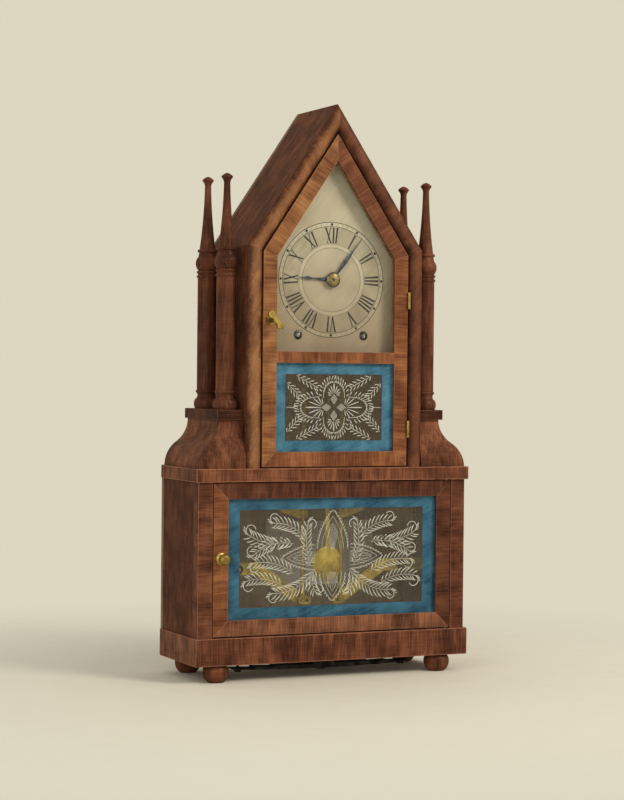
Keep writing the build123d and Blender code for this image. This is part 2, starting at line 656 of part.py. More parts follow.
# Upper door hinges: a fixed leaf with two knuckles, a door leaf with the middle one and the pin
case_edge = UPPER_HALF - MOULD_WIDTH
door_edge = case_edge - DOOR_GAP
hinge_x = case_edge - DOOR_GAP / 2
hinge_depth = DOOR_RECESS - HINGE_BARREL_RADIUS - 0.1
knuckle = HINGE_LENGTH / 3
case_hinges = []
door_leaves = []
for lift in (HINGE_LOW, HINGE_HIGH):
    middle = CORNICE_TOP + lift
    low = middle - HINGE_LENGTH / 2
    high = middle + HINGE_LENGTH / 2
    inner_low = middle - knuckle / 2
    inner_high = middle + knuckle / 2
    leaf_far = hinge_depth + HINGE_LEAF_DEPTH
    fixed = block(case_edge - HINGE_LEAF, case_edge, hinge_depth, leaf_far, low, high)
    fixed -= block(case_edge - HINGE_LEAF, case_edge, 0, DOOR_RECESS + RUN, inner_low - RUN, inner_high + RUN)
    for z0, z1 in ((low, inner_low - RUN), (inner_high + RUN, high)):
        fixed += post(hinge_x, hinge_depth, HINGE_BARREL_RADIUS, z0, z1)
    fixed -= post(hinge_x, hinge_depth, HINGE_PIN_RADIUS + RUN, low, high)
    case_hinges.append(fixed)
    moving = block(door_edge, door_edge + HINGE_LEAF, hinge_depth, leaf_far, low, high)
    for z0, z1 in ((low, inner_low), (inner_high, high)):
        moving -= block(door_edge, door_edge + HINGE_LEAF, 0, DOOR_RECESS + 2 * HINGE_BARREL_RADIUS, z0, z1)
    moving += post(hinge_x, hinge_depth, HINGE_BARREL_RADIUS, inner_low, inner_high)
    moving += post(hinge_x, hinge_depth, HINGE_PIN_RADIUS, low, high)
    door_leaves.append(moving)
save("hinge_door_leaves", *door_leaves)

# Upper latch: wings in front, a stem through the stile, a tongue behind
stem_front = DOOR_RECESS - UPPER_LATCH_REACH
wing_near = stem_front
wing_far = stem_front + WING_THICK
latch_centre = (upper_latch_x, upper_latch_z)
latch = pin(*latch_centre, LATCH_STEM_RADIUS, stem_front, door_back + 0.6 + TONGUE_THICK)
latch += pin(*latch_centre, LATCH_ROSE_RADIUS, DOOR_RECESS - 2.2, DOOR_RECESS - 0.3)
latch += pin(*latch_centre, LATCH_STEM_RADIUS + 1.2, wing_near + 1.0, DOOR_RECESS - 2.2)
for turn in (WING_ANGLE, WING_ANGLE + 180):
    tip = polar(latch_centre, WING_LENGTH - WING_RADIUS, turn)
    latch += slab(bar(latch_centre, tip, WING_RADIUS), wing_near + 0.6, wing_far - 0.4)
    latch += pin(*tip, WING_RADIUS, wing_near, wing_far)
tongue_tip = polar(latch_centre, TONGUE_LENGTH, 90)
tongue_near = door_back + 0.3
latch += slab(bar(latch_centre, tongue_tip, TONGUE_WIDTH), tongue_near, tongue_near + TONGUE_THICK)
save("upper_latch", latch)

# Lower door
lower_half = BODY_HALF - STILE_WIDTH - DOOR_GAP
lower_low = SKIRT_TOP + DOOR_GAP
lower_high = BODY_TOP - DOOR_GAP
lower_near = OVERHANG
lower_far = OVERHANG + DOOR_THICK
lower_glass = OVERHANG + GLASS_DEPTH


def rectangle(inset):
    half = lower_half - inset
    low = lower_low + inset
    high = lower_high - inset
    return [(-half, low), (half, low), (half, high), (-half, high)]


lower_outer = rectangle(0)
lower_inner = rectangle(LOWER_FRAME)
lower_rabbet = slab(outline(*rectangle(LOWER_FRAME - RABBET)), lower_glass, lower_far)
lower_latch_x = -(lower_half - LOWER_FRAME / 2)
lower_latch_z = SKIRT_TOP + LOWER_LATCH_LIFT
pivot_x = lower_half - PIVOT_INSET
pivot_depth = OVERHANG + PIVOT_DEPTH
lower_members = []
for first, second in ((0, 1), (1, 2), (2, 3), (3, 0)):
    quad = [lower_outer[first], lower_outer[second], lower_inner[second], lower_inner[first]]
    member = slab(outline(*quad), lower_near, lower_far) - lower_rabbet
    for z0, z1 in ((lower_low, lower_low + PIVOT_REACH + 1), (lower_high - PIVOT_REACH - 1, lower_high)):
        member -= post(pivot_x, pivot_depth, PIVOT_RADIUS + RUN, z0, z1)
    member -= pin(lower_latch_x, lower_latch_z, LATCH_STEM_RADIUS + RUN, lower_near, lower_far)
    lower_members.append(member)
save("lower_door_frame", *lower_members)

lower_pane = rectangle(LOWER_FRAME - RABBET + GLASS_PLAY)
save("lower_tablet", slab(outline(*lower_pane), lower_glass, lower_glass + GLASS_THICK))

pivot_seat = 5.0
low_pivot = post(pivot_x, pivot_depth, PIVOT_RADIUS, SKIRT_TOP - pivot_seat, lower_low + PIVOT_REACH)
high_pivot = post(pivot_x, pivot_depth, PIVOT_RADIUS, lower_high - PIVOT_REACH, BODY_TOP + pivot_seat)
case_hinges += [low_pivot, high_pivot]
save("case_hinges", *case_hinges)
save("cornice_board", cornice - high_pivot)
skirts[0] = skirts[0] - low_pivot
save("skirt_boards", *skirts)

# Lower latch: a turned knob in front and a tongue that swings behind the stile
knob_front = OVERHANG - KNOB_REACH
knob_profile = [
    Line((KNOB_ROSE_RADIUS, 0.3), (KNOB_ROSE_RADIUS, 1.4)),
    arc((KNOB_ROSE_RADIUS, 1.4), (KNOB_NECK_RADIUS, KNOB_REACH * 0.42), -1.4),
    arc((KNOB_NECK_RADIUS, KNOB_REACH * 0.42), (KNOB_RADIUS, KNOB_REACH * 0.6), -0.8),
    arc((KNOB_RADIUS, KNOB_REACH * 0.6), (1.0, KNOB_REACH), 2.4),
]
knob_face = Plane((lower_latch_x, at(OVERHANG), lower_latch_z), x_dir=(1, 0, 0), z_dir=(0, -1, 0))
lower_knob = knob_face * turned(knob_profile)
lower_tongue_near = lower_far + 0.3
lower_tongue_far = lower_tongue_near + TONGUE_THICK
lower_knob += pin(lower_latch_x, lower_latch_z, LATCH_STEM_RADIUS, OVERHANG - 1, lower_tongue_far)
lower_tip = polar((lower_latch_x, lower_latch_z), TONGUE_LENGTH, 90)
lower_knob += slab(
    bar((lower_latch_x, lower_latch_z), lower_tip, TONGUE_WIDTH), lower_tongue_near, lower_tongue_far
)
save("lower_latch", lower_knob)

# Dial and hands
centre = (0, DIAL_Z)
drum_z = DIAL_Z - WINDING_DROP
dial = outline(*gable(MOULD_WIDTH, CORNICE_TOP + DIAL_LOW)) - Pos(*centre) * Circle(DIAL_HOLE_RADIUS)
for side in (-1, 1):
    dial -= Pos(side * WINDING_OFFSET, drum_z) * Circle(WINDING_HOLE_RADIUS)
save("dial_plate", slab(dial, DIAL_DEPTH, DIAL_DEPTH + DIAL_THICK))


def hand(angle, stations, near, bore):
    """Flat hand through half widths at distances from its eye, pointing at a clock angle."""
    right = [(half, distance) for distance, half in stations]
    shape = outline(*(right + mirrored(right))) + Circle(HAND_EYE_RADIUS) - Circle(bore)
    return slab(Pos(*centre) * Rot(0, 0, -angle) * shape, near, near + HAND_THICK)


minute_stations = [
    (0, 1.0),
    (HAND_EYE_RADIUS + 3, 0.9),
    (MINUTE_HAND_LENGTH * 0.42, MINUTE_HAND_WIDTH / 2),
    (MINUTE_HAND_LENGTH * 0.7, 0.8),
    (MINUTE_HAND_LENGTH, 0.3),
]
hour_stations = [
    (0, HOUR_HAND_WIDTH * 0.36),
    (HOUR_HAND_LENGTH * 0.3, HOUR_HAND_WIDTH * 0.42),
    (HOUR_HAND_LENGTH * 0.58, 0.6),
    (HOUR_HAND_LENGTH * 0.74, HOUR_HAND_WIDTH / 2),
    (HOUR_HAND_LENGTH * 0.86, 0.6),
    (HOUR_HAND_LENGTH, 0.3),
]
save("minute_hand", hand(MINUTE_HAND_ANGLE, minute_stations, MINUTE_HAND_DEPTH, ARBOR_RADIUS))
save("hour_hand", hand(HOUR_HAND_ANGLE, hour_stations, HOUR_HAND_DEPTH, HOUR_PIPE_RADIUS))
nut_base = MINUTE_HAND_DEPTH
nut_profile = [
    Line((NUT_RADIUS, 0), (NUT_RADIUS, 0.3)),
    arc((NUT_RADIUS, 0.3), (1.2, NUT_HEIGHT), 0.4),
]
nut_plane = Plane((0, at(nut_base), DIAL_Z), x_dir=(1, 0, 0), z_dir=(0, -1, 0))
arbor_front = nut_base - NUT_HEIGHT * 0.5
nut = nut_plane * turned(nut_profile) - pin(*centre, ARBOR_RADIUS, arbor_front, nut_base)
save("hand_nut", nut)


# Wheels, drawn with straight-sided teeth that leave generous backlash
def toothed(teeth, module, place, phase, bore):
    """Wheel or pinion outline with a many-sided bore that stands on a round arbor."""
    pitch_radius = teeth * module / 2
    pitch = 360 / teeth
    points = []
    for tooth in range(teeth):
        angle = phase + tooth * pitch
        root = pitch_radius - DEDENDUM * module
        tip = pitch_radius + ADDENDUM * module
        root_half = pitch * TOOTH_SHARE * 0.62
        tip_half = pitch * TOOTH_TIP_SHARE / 2
        points.append(polar(place, root, angle - root_half))
        points.append(polar(place, tip, angle - tip_half))
        points.append(polar(place, tip, angle + tip_half))
        points.append(polar(place, root, angle + root_half))
    return outline(*points) - Pos(*place) * many_sided(bore)


def many_sided(radius):
    sides = 12
    return RegularPolygon(radius, sides, major_radius=False)


def crossings(teeth, module, place, hub):
    """Windows that leave a wheel four arms and a rim."""
    outer = teeth * module / 2 - 3.2 * module
    windows = Sketch()
    for quarter in range(4):
        angle = 45 + 90 * quarter
        spread = math.degrees(math.asin(2.2 / hub))
        inner_half = 45 - spread
        outer_half = 45 - math.degrees(math.asin(2.2 / outer))
        windows += outline(
            polar(place, hub, angle - inner_half),
            polar(place, outer, angle - outer_half),
            polar(place, outer, angle),
            polar(place, outer, angle + outer_half),
            polar(place, hub, angle + inner_half),
        )
    return windows


def meshed(driver_phase, driver_teeth, driven_teeth, angle):
    """Phase that sets a gap of the driven wheel on the driver's tooth; angle runs driver to driven."""
    driver_pitch = 360 / driver_teeth
    driven_pitch = 360 / driven_teeth
    share = ((angle - driver_phase) / driver_pitch) % 1
    return angle + 180 - (0.5 - share) * driven_pitch


def bearing(start, end):
    return math.degrees(math.atan2(end[1] - start[1], end[0] - start[0]))


def meeting(first, first_radius, second, second_radius, side):
    """Where two circles cross, on the left or right of the line between their centres."""
    gap = math.dist(first, second)
    along = (first_radius**2 - second_radius**2 + gap**2) / (2 * gap)
    across = side * math.sqrt(max(first_radius**2 - along**2, 0))
    ux = (second[0] - first[0]) / gap
    uz = (second[1] - first[1]) / gap
    return (first[0] + along * ux - across * uz, first[1] + along * uz + across * ux)


great_at = (WINDING_OFFSET, drum_z)
strike_at = (-WINDING_OFFSET, drum_z)
escape_at = (0, DIAL_Z - ESCAPE_DROP)
great_reach = GREAT_MODULE * (GREAT_TEETH + SECOND_PINION_TEETH) / 2
second_reach = SECOND_MODULE * (SECOND_TEETH + CENTER_PINION_TEETH) / 2
second_at = meeting(great_at, great_reach, centre, second_reach, -1)
center_reach = CENTER_MODULE * (CENTER_TEETH + THIRD_PINION_TEETH) / 2
third_reach = THIRD_MODULE * (THIRD_TEETH + ESCAPE_PINION_TEETH) / 2
third_at = meeting(centre, center_reach, escape_at, third_reach, -1)
minute_reach = MINUTE_MODULE * (CANNON_TEETH + MINUTE_WHEEL_TEETH) / 2
minute_at = polar(centre, minute_reach, MINUTE_WHEEL_ANGLE)
hour_module = 2 * minute_reach / (MINUTE_PINION_TEETH + HOUR_TEETH)

second_wheel_phase = meshed(0, CENTER_PINION_TEETH, SECOND_TEETH, bearing(centre, second_at))
great_phase = meshed(0, SECOND_PINION_TEETH, GREAT_TEETH, bearing(second_at, great_at))
third_pinion_phase = meshed(0, CENTER_TEETH, THIRD_PINION_TEETH, bearing(centre, third_at))
escape_pinion_phase = meshed(0, THIRD_TEETH, ESCAPE_PINION_TEETH, bearing(third_at, escape_at))
minute_wheel_phase = meshed(0, CANNON_TEETH, MINUTE_WHEEL_TEETH, bearing(centre, minute_at))
hour_phase = meshed(0, MINUTE_PINION_TEETH, HOUR_TEETH, bearing(minute_at, centre))

plate_back = BACK_PLATE_DEPTH + PLATE_THICK


def wheel(teeth, module, place, phase, bore, depth, thick=WHEEL_THICK):
    shape = toothed(teeth, module, place, phase, bore) - crossings(teeth, module, place, bore + 4.0)
    return slab(shape, depth, depth + thick)


def pinion(teeth, module, place, phase, wheel_depth):
    """Pinion long enough to pass its wheel on both sides."""
    near = wheel_depth - (PINION_LENGTH - WHEEL_THICK) / 2
    return slab(toothed(teeth, module, place, phase, ARBOR_RADIUS), near, near + PINION_LENGTH)


def arbor(place, near=FRONT_PLATE_DEPTH, far=plate_back):
    return pin(*place, ARBOR_RADIUS, near, far)


center_parts = [
    arbor(centre, arbor_front),
    wheel(CENTER_TEETH, CENTER_MODULE, centre, 0, ARBOR_RADIUS, CENTER_WHEEL_DEPTH),
    pinion(CENTER_PINION_TEETH, SECOND_MODULE, centre, 0, SECOND_WHEEL_DEPTH),
    slab(
        toothed(CANNON_TEETH, MINUTE_MODULE, centre, 0, ARBOR_RADIUS),
        CANNON_DEPTH,
        CANNON_DEPTH + MOTION_THICK,
    ),
]
save("center_wheel", *center_parts)
save(
    "second_wheel",
    arbor(second_at),
    wheel(SECOND_TEETH, SECOND_MODULE, second_at, second_wheel_phase, ARBOR_RADIUS, SECOND_WHEEL_DEPTH),
    pinion(SECOND_PINION_TEETH, GREAT_MODULE, second_at, 0, GREAT_WHEEL_DEPTH),
)
great_bore = DRUM_ARBOR_RADIUS + RUN
save("great_wheel", wheel(GREAT_TEETH, GREAT_MODULE, great_at, great_phase, great_bore, GREAT_WHEEL_DEPTH))
save(
    "third_wheel",
    arbor(third_at),
    wheel(THIRD_TEETH, THIRD_MODULE, third_at, 0, ARBOR_RADIUS, THIRD_WHEEL_DEPTH),
    pinion(THIRD_PINION_TEETH, CENTER_MODULE, third_at, third_pinion_phase, CENTER_WHEEL_DEPTH),
)

minute_stud_near = HOUR_WHEEL_DEPTH - 0.6
minute_wheel_shape = toothed(MINUTE_WHEEL_TEETH, MINUTE_MODULE, minute_at, minute_wheel_phase, STUD_RADIUS + RUN)
minute_pinion_shape = toothed(MINUTE_PINION_TEETH, hour_module, minute_at, 0, STUD_RADIUS + RUN)
minute_wheel = slab(minute_wheel_shape, CANNON_DEPTH, CANNON_DEPTH + MOTION_THICK)
minute_wheel += slab(minute_pinion_shape, HOUR_WHEEL_DEPTH - 0.3, CANNON_DEPTH)
save("minute_wheel", minute_wheel)

hour_shape = toothed(HOUR_TEETH, hour_module, centre, hour_phase, HOUR_PIPE_RADIUS)
hour_pipe = pin(*centre, HOUR_PIPE_RADIUS, HOUR_HAND_DEPTH - 0.2, HOUR_WHEEL_DEPTH + MOTION_THICK)
hour_pipe -= pin(*centre, ARBOR_RADIUS + RUN, HOUR_HAND_DEPTH - 0.2, HOUR_WHEEL_DEPTH + MOTION_THICK)
save("hour_wheel", hour_pipe, slab(hour_shape, HOUR_WHEEL_DEPTH, HOUR_WHEEL_DEPTH + MOTION_THICK))

# Escape wheel in front of the plate, with pallets that stand clear of its tips
escape_points = []
for tooth in range(ESCAPE_TEETH):
    angle = 360 / ESCAPE_TEETH * tooth
    escape_points.append(polar(escape_at, ESCAPE_RADIUS - ESCAPE_TOOTH_DEPTH, angle - 180 / ESCAPE_TEETH))
    escape_points.append(polar(escape_at, ESCAPE_RADIUS, angle))
escape_face = outline(*escape_points) - Pos(*escape_at) * many_sided(ARBOR_RADIUS)
save(
    "escape_wheel",
    arbor(escape_at, ESCAPE_DEPTH),
    slab(escape_face, ESCAPE_DEPTH, ESCAPE_DEPTH + ESCAPE_THICK),
    pinion(ESCAPE_PINION_TEETH, THIRD_MODULE, escape_at, escape_pinion_phase, THIRD_WHEEL_DEPTH),
)

verge_at = (0, DIAL_Z - VERGE_DROP)
hub_radius = STUD_RADIUS + 2.0
verge_shape = Pos(*verge_at) * Circle(hub_radius)
pallet_radius = ESCAPE_RADIUS + PALLET_CLEAR
for side in (-1, 1):
    tip = polar(escape_at, pallet_radius + 1.0, 90 + side * PALLET_ANGLE)
    knee = (tip[0] * 1.04, (tip[1] + verge_at[1]) / 2 + 1.0)
    verge_shape += bar(verge_at, knee, 2.0) + bar(knee, tip, 2.0)
verge_shape -= Pos(*verge_at) * Circle(STUD_RADIUS + RUN)
verge = slab(verge_shape, ESCAPE_DEPTH, ESCAPE_DEPTH + VERGE_THICK)
crutch_near = CRUTCH_DEPTH
crutch_far = CRUTCH_DEPTH + CRUTCH_THICK
crutch_end = (0, DIAL_Z - CRUTCH_DROP)
crutch = Pos(*verge_at) * Circle(hub_radius) + bar(verge_at, crutch_end, 2.4)
crutch += bar((-3.4, crutch_end[1]), (3.4, crutch_end[1]), 2.4)
crutch -= Pos(*verge_at) * Circle(STUD_RADIUS + RUN)
verge += slab(crutch, crutch_near, crutch_far)
verge += slab(
    Pos(*verge_at) * (Circle(hub_radius) - Circle(STUD_RADIUS + RUN)), crutch_far, ESCAPE_DEPTH
)
prong_inner = PENDULUM_ROD_RADIUS + CRUTCH_GAP
for side in (-1, 1):
    x0, x1 = sorted((side * prong_inner, side * (prong_inner + 1.6)))
    prong_low = crutch_end[1] - 1.0
    verge += block(x0, x1, PENDULUM_DEPTH - 1.4, crutch_near, prong_low, prong_low + 2.0)
save("verge", verge)

# Pendulum: an eye on the suspension stud, a rod with a flat brass strip, and a bob on a rating nut
suspension_at = (0, DIAL_Z - PENDULUM_DROP)
bob_z = suspension_at[1] - PENDULUM_LENGTH
rod_low = bob_z - BOB_RADIUS - BOB_NUT_HEIGHT
pendulum = pin(*suspension_at, PENDULUM_EYE_RADIUS, PENDULUM_DEPTH - 0.8, PENDULUM_DEPTH + 0.8)
pendulum += post(0, PENDULUM_DEPTH, PENDULUM_ROD_RADIUS, rod_low, suspension_at[1] - STUD_RADIUS)
pendulum -= pin(*suspension_at, STUD_RADIUS + RUN, PENDULUM_DEPTH - 2, PENDULUM_DEPTH + 2)
pendulum += post(0, PENDULUM_DEPTH, BOB_NUT_RADIUS, rod_low, rod_low + BOB_NUT_HEIGHT)
pendulum += block(
    -PENDULUM_STRIP_WIDTH / 2,
    PENDULUM_STRIP_WIDTH / 2,
    PENDULUM_DEPTH - PENDULUM_STRIP_THICK / 2,
    PENDULUM_DEPTH + PENDULUM_STRIP_THICK / 2,
    bob_z + BOB_RADIUS + RUN,
    BODY_TOP - PENDULUM_STRIP_DROP,
)
save("pendulum_rod", pendulum)

bob_edge = 1.0
bob_profile = [
    Line((BOB_RADIUS, 0), (BOB_RADIUS, bob_edge / 2)),
    arc((BOB_RADIUS, bob_edge / 2), (0.5, BOB_THICK / 2), 1.6),
]
bob_half = turned(bob_profile)
bob_plane = Plane((0, at(PENDULUM_DEPTH), bob_z), x_dir=(1, 0, 0), z_dir=(0, -1, 0))
bob = bob_plane * (bob_half + mirror(bob_half, Plane.XY))
bob -= post(0, PENDULUM_DEPTH, PENDULUM_ROD_RADIUS, bob_z - BOB_RADIUS - 1, bob_z + BOB_RADIUS + 1)
save("pendulum_bob", bob)

# Winding drums on square-ended arbors
drum_far = DRUM_DEPTH + DRUM_WIDTH
square_near = DIAL_DEPTH - 0.6


def drum(place):
    shape = pin(*place, DRUM_ARBOR_RADIUS, FRONT_PLATE_DEPTH, plate_back)
    square = Pos(*place) * Rectangle(WINDING_SQUARE, WINDING_SQUARE)
    shape += slab(square, square_near, FRONT_PLATE_DEPTH)
    shape += pin(*place, DRUM_RADIUS, DRUM_DEPTH, drum_far)
    for near in (DRUM_DEPTH, drum_far - DRUM_FLANGE):
        shape += pin(*place, DRUM_FLANGE_RADIUS, near, near + DRUM_FLANGE)
    return shape


save("time_drum", drum(great_at))
save("strike_drum", drum(strike_at))

# Movement plates, with the studs on the front one and the pillars through the back one
hammer_at = (HAMMER_OFFSET, DIAL_Z - HAMMER_DROP)
plate_low = DIAL_Z - PLATE_BELOW
plate_high = DIAL_Z + PLATE_ABOVE
plate_outline = outline(
    (-PLATE_HALF, plate_low), (PLATE_HALF, plate_low), (PLATE_HALF, plate_high), (-PLATE_HALF, plate_high)
)
plate_face = plate_outline
for place in (centre, second_at, third_at, escape_at, hammer_at):
    plate_face -= Pos(*place) * Circle(ARBOR_RADIUS + RUN)
for place in (great_at, strike_at):
    plate_face -= Pos(*place) * Circle(DRUM_ARBOR_RADIUS + RUN)
pillar_spots = []
for side in (-1, 1):
    for level in (plate_low + PILLAR_INSET, plate_high - PILLAR_INSET):
        pillar_spots.append((side * (PLATE_HALF - PILLAR_INSET), level))
front_plate = slab(plate_face, FRONT_PLATE_DEPTH, FRONT_PLATE_DEPTH + PLATE_THICK)
front_plate += pin(*minute_at, STUD_RADIUS, minute_stud_near, FRONT_PLATE_DEPTH)
front_plate += pin(*verge_at, STUD_RADIUS, CRUTCH_DEPTH - 0.3, FRONT_PLATE_DEPTH)
front_plate += pin(*suspension_at, STUD_RADIUS, PENDULUM_DEPTH - 1.4, FRONT_PLATE_DEPTH)
save("front_plate", front_plate)

for place in pillar_spots:
    plate_face -= Pos(*place) * Circle(PILLAR_RADIUS)
back_parts = [slab(plate_face, BACK_PLATE_DEPTH, plate_back)]
for place in pillar_spots:
    back_parts.append(pin(*place, PILLAR_RADIUS, FRONT_PLATE_DEPTH + PLATE_THICK, BACK_FACE))
save("back_plate", *back_parts)

# Gong: one wire wound in half turns, its outer end straight into a block on the back board
gong_z = CORNICE_TOP + GONG_LIFT
gong_edges = []
gong_radius = GONG_INNER_RADIUS
gong_samples = []
for half_turn in range(2 * GONG_TURNS):
    upper = half_turn % 2 == 0
    middle = (0 if upper else GONG_PITCH / 2, gong_z)
    start = 0 if upper else 180
    gong_edges.append(
        ThreePointArc(
            polar(middle, gong_radius, start),
            polar(middle, gong_radius, start + 90),
            polar(middle, gong_radius, start + 180),
        )
    )
    for step in range(18):
        gong_samples.append((half_turn, polar(middle, gong_radius, start + 10 * step)))
    gong_radius += GONG_PITCH / 2
gong_end = (GONG_INNER_RADIUS + GONG_TURNS * GONG_PITCH, gong_z)
gong_block_low = gong_z + 2 * GONG_WIRE_RADIUS
gong_edges.append(Line(gong_end, (gong_end[0], gong_block_low)))
gong_path = front_plane(GONG_DEPTH) * Wire(gong_edges)
gong_start = Plane((GONG_INNER_RADIUS, at(GONG_DEPTH), gong_z), z_dir=(0, 0, 1))
gong = sweep(gong_start * Circle(GONG_WIRE_RADIUS), path=gong_path)
gong_block = block(
    gong_end[0] - GONG_WIRE_RADIUS - 2,
    gong_end[0] - GONG_WIRE_RADIUS - 2 + GONG_BLOCK_WIDTH,
    GONG_DEPTH - GONG_WIRE_RADIUS - 3,
    BACK_FACE,
    gong_block_low,
    gong_block_low + GONG_BLOCK_HEIGHT,
)
save("wire_gong", gong, gong_block)
least = min(
    math.dist(a, b)
    for i, (turn_a, a) in enumerate(gong_samples)
    for turn_b, b in gong_samples[i + 1:]
    if turn_b - turn_a >= 2
)
print("gong: least gap between turns", round(least - 2 * GONG_WIRE_RADIUS, 2), "mm")

# Hammer: an arbor across the plates with its arm and head behind
gong_outer = GONG_INNER_RADIUS + GONG_TURNS * GONG_PITCH
head_radius_at = gong_outer + GONG_WIRE_RADIUS + HAMMER_HEAD_RADIUS + HAMMER_GAP
head_at = polar((0, gong_z), head_radius_at, HAMMER_ANGLE)
arm_near = GONG_DEPTH - GONG_WIRE_RADIUS - 1.5
hammer = pin(*hammer_at, ARBOR_RADIUS, FRONT_PLATE_DEPTH, arm_near + 2)
hammer += slab(bar(hammer_at, head_at, 3.0), arm_near, arm_near + 2)
head_near = GONG_DEPTH - HAMMER_HEAD_LENGTH / 2
hammer += pin(*head_at, HAMMER_HEAD_RADIUS, head_near, head_near + HAMMER_HEAD_LENGTH)
save("hammer", hammer)


# Spring drive, drawn for the right (time) side and mirrored for the left (strike) side
rod_near = ROD_DEPTH - ROD_EYE_THICK / 2
rod_far = ROD_DEPTH + ROD_EYE_THICK / 2
lever_near = rod_far + LEVER_GAP
lever_far = lever_near + LEVER_THICK
lever_pivot = (LEVER_PIVOT_OFFSET, LEVER_HEIGHT)
lever_end = (ROD_OFFSET, LEVER_END_HEIGHT)
lever_bend = (LEVER_PIVOT_OFFSET - LEVER_BEND_ARM, LEVER_HEIGHT)
lever_tail = (LEVER_PIVOT_OFFSET + LEVER_TAIL, LEVER_HEIGHT)
link_at = (LINK_OFFSET, LEVER_HEIGHT)
swing = math.radians(LEVER_SWING)
arm_x = lever_pivot[0] - lever_end[0]
arm_z = lever_pivot[1] - lever_end[1]
end_shift = arm_x * (math.cos(swing) - 1) + arm_z * math.sin(swing)

lever_shape = bar(lever_tail, lever_bend, LEVER_WIDTH) + bar(lever_bend, lever_end, LEVER_WIDTH)
lever_shape -= Pos(*lever_pivot) * Circle(LEVER_PIVOT_RADIUS + RUN)
lever = slab(lever_shape, lever_near, lever_far)
lever += pin(*lever_end, LEVER_PIN_RADIUS, rod_near - 0.5, lever_near)
lever += pin(*link_at, LEVER_PIN_RADIUS, rod_near - 0.5, lever_near)

slot_half = LEVER_PIN_RADIUS + SLOT_CLEAR
slot_in = (ROD_OFFSET - end_shift - SLOT_CLEAR, LEVER_END_HEIGHT)
slot_out = (ROD_OFFSET + SLOT_CLEAR, LEVER_END_HEIGHT)
rod_eye = bar(slot_in, slot_out, 2 * slot_half + 5.0) - bar(slot_in, slot_out, 2 * slot_half)
rod = slab(rod_eye, rod_near, rod_far)
rod_shoulder = ROD_TOP - CHAIN_WIDTH
rod += post(ROD_OFFSET, ROD_DEPTH, ROD_RADIUS, LEVER_END_HEIGHT + slot_half + 1.2, rod_shoulder)
rod_tip = bar((ROD_OFFSET, rod_shoulder), (ROD_OFFSET, ROD_TOP), CHAIN_WIDTH)
rod_tip -= Pos(ROD_OFFSET, ROD_TOP) * Circle(CHAIN_PIN_RADIUS + RUN)
rod += slab(rod_tip, ROD_DEPTH - CHAIN_PLATE / 2, ROD_DEPTH + CHAIN_PLATE / 2)

spring_radius = (SPRING_HALF**2 + SPRING_BOW**2) / (2 * SPRING_BOW)
leaf_curve_z = SPRING_LOW + spring_radius
link_leaf_low = leaf_curve_z - math.sqrt(spring_radius**2 - LINK_OFFSET**2)
link_low = link_leaf_low - LINK_HEAD_GAP - LINK_HEAD_HEIGHT
link_shift = LINK_ARM * (1 - math.cos(swing))
link_slot_in = (LINK_OFFSET - SLOT_CLEAR, LEVER_HEIGHT)
link_slot_out = (LINK_OFFSET + link_shift + SLOT_CLEAR, LEVER_HEIGHT)
link_eye = bar(link_slot_in, link_slot_out, 2 * slot_half + 5.0) - bar(link_slot_in, link_slot_out, 2 * slot_half)
link = slab(link_eye, rod_near, rod_far)
link += post(LINK_OFFSET, ROD_DEPTH, LINK_RADIUS, link_low, LEVER_HEIGHT - slot_half - 1.2)
link += post(LINK_OFFSET, ROD_DEPTH, LINK_HEAD_RADIUS, link_low, link_low + LINK_HEAD_HEIGHT)

wall = BODY_HALF - SIDE_BOARD
lug_near = lever_far + LEVER_GAP
lug_far = lug_near + BRACKET_PLATE
bracket = block(
    wall - BRACKET_PLATE,
    wall,
    lever_near - 4,
    lug_far + 4,
    LEVER_HEIGHT - BRACKET_HEIGHT / 2,
    LEVER_HEIGHT + BRACKET_HEIGHT / 2,
)
bracket += slab(bar(lever_pivot, (wall - LEVER_WIDTH / 2, LEVER_HEIGHT), LEVER_WIDTH), lug_near, lug_far)
bracket += pin(*lever_pivot, LEVER_PIVOT_RADIUS, lever_near - 0.6, lug_near)
bracket += pin(*lever_pivot, LEVER_PIVOT_RADIUS + 1.5, lever_near - 2.2, lever_near - 0.6)

guide_shape = bar((GUIDE_OFFSET, BODY_TOP - GUIDE_WIDTH / 2), (GUIDE_OFFSET - 4, GUIDE_LIFT + 8), GUIDE_WIDTH)
guide_shape += bar((GUIDE_OFFSET - 4, GUIDE_LIFT + 8), (ROD_OFFSET + 4, GUIDE_LIFT), GUIDE_WIDTH)
guide_shape += Pos(GUIDE_OFFSET, BODY_TOP - 1.5) * Rectangle(GUIDE_WIDTH * 2, 3.0)
guide = slab(guide_shape, rod_near, rod_far)
guide += block(
    ROD_OFFSET - 4, ROD_OFFSET + 4, ROD_DEPTH - 4, ROD_DEPTH + 4, GUIDE_LIFT - 4, GUIDE_LIFT + 4
)
guide -= post(ROD_OFFSET, ROD_DEPTH, ROD_RADIUS + GUIDE_CLEAR, GUIDE_LIFT - 6, GUIDE_LIFT + 6)

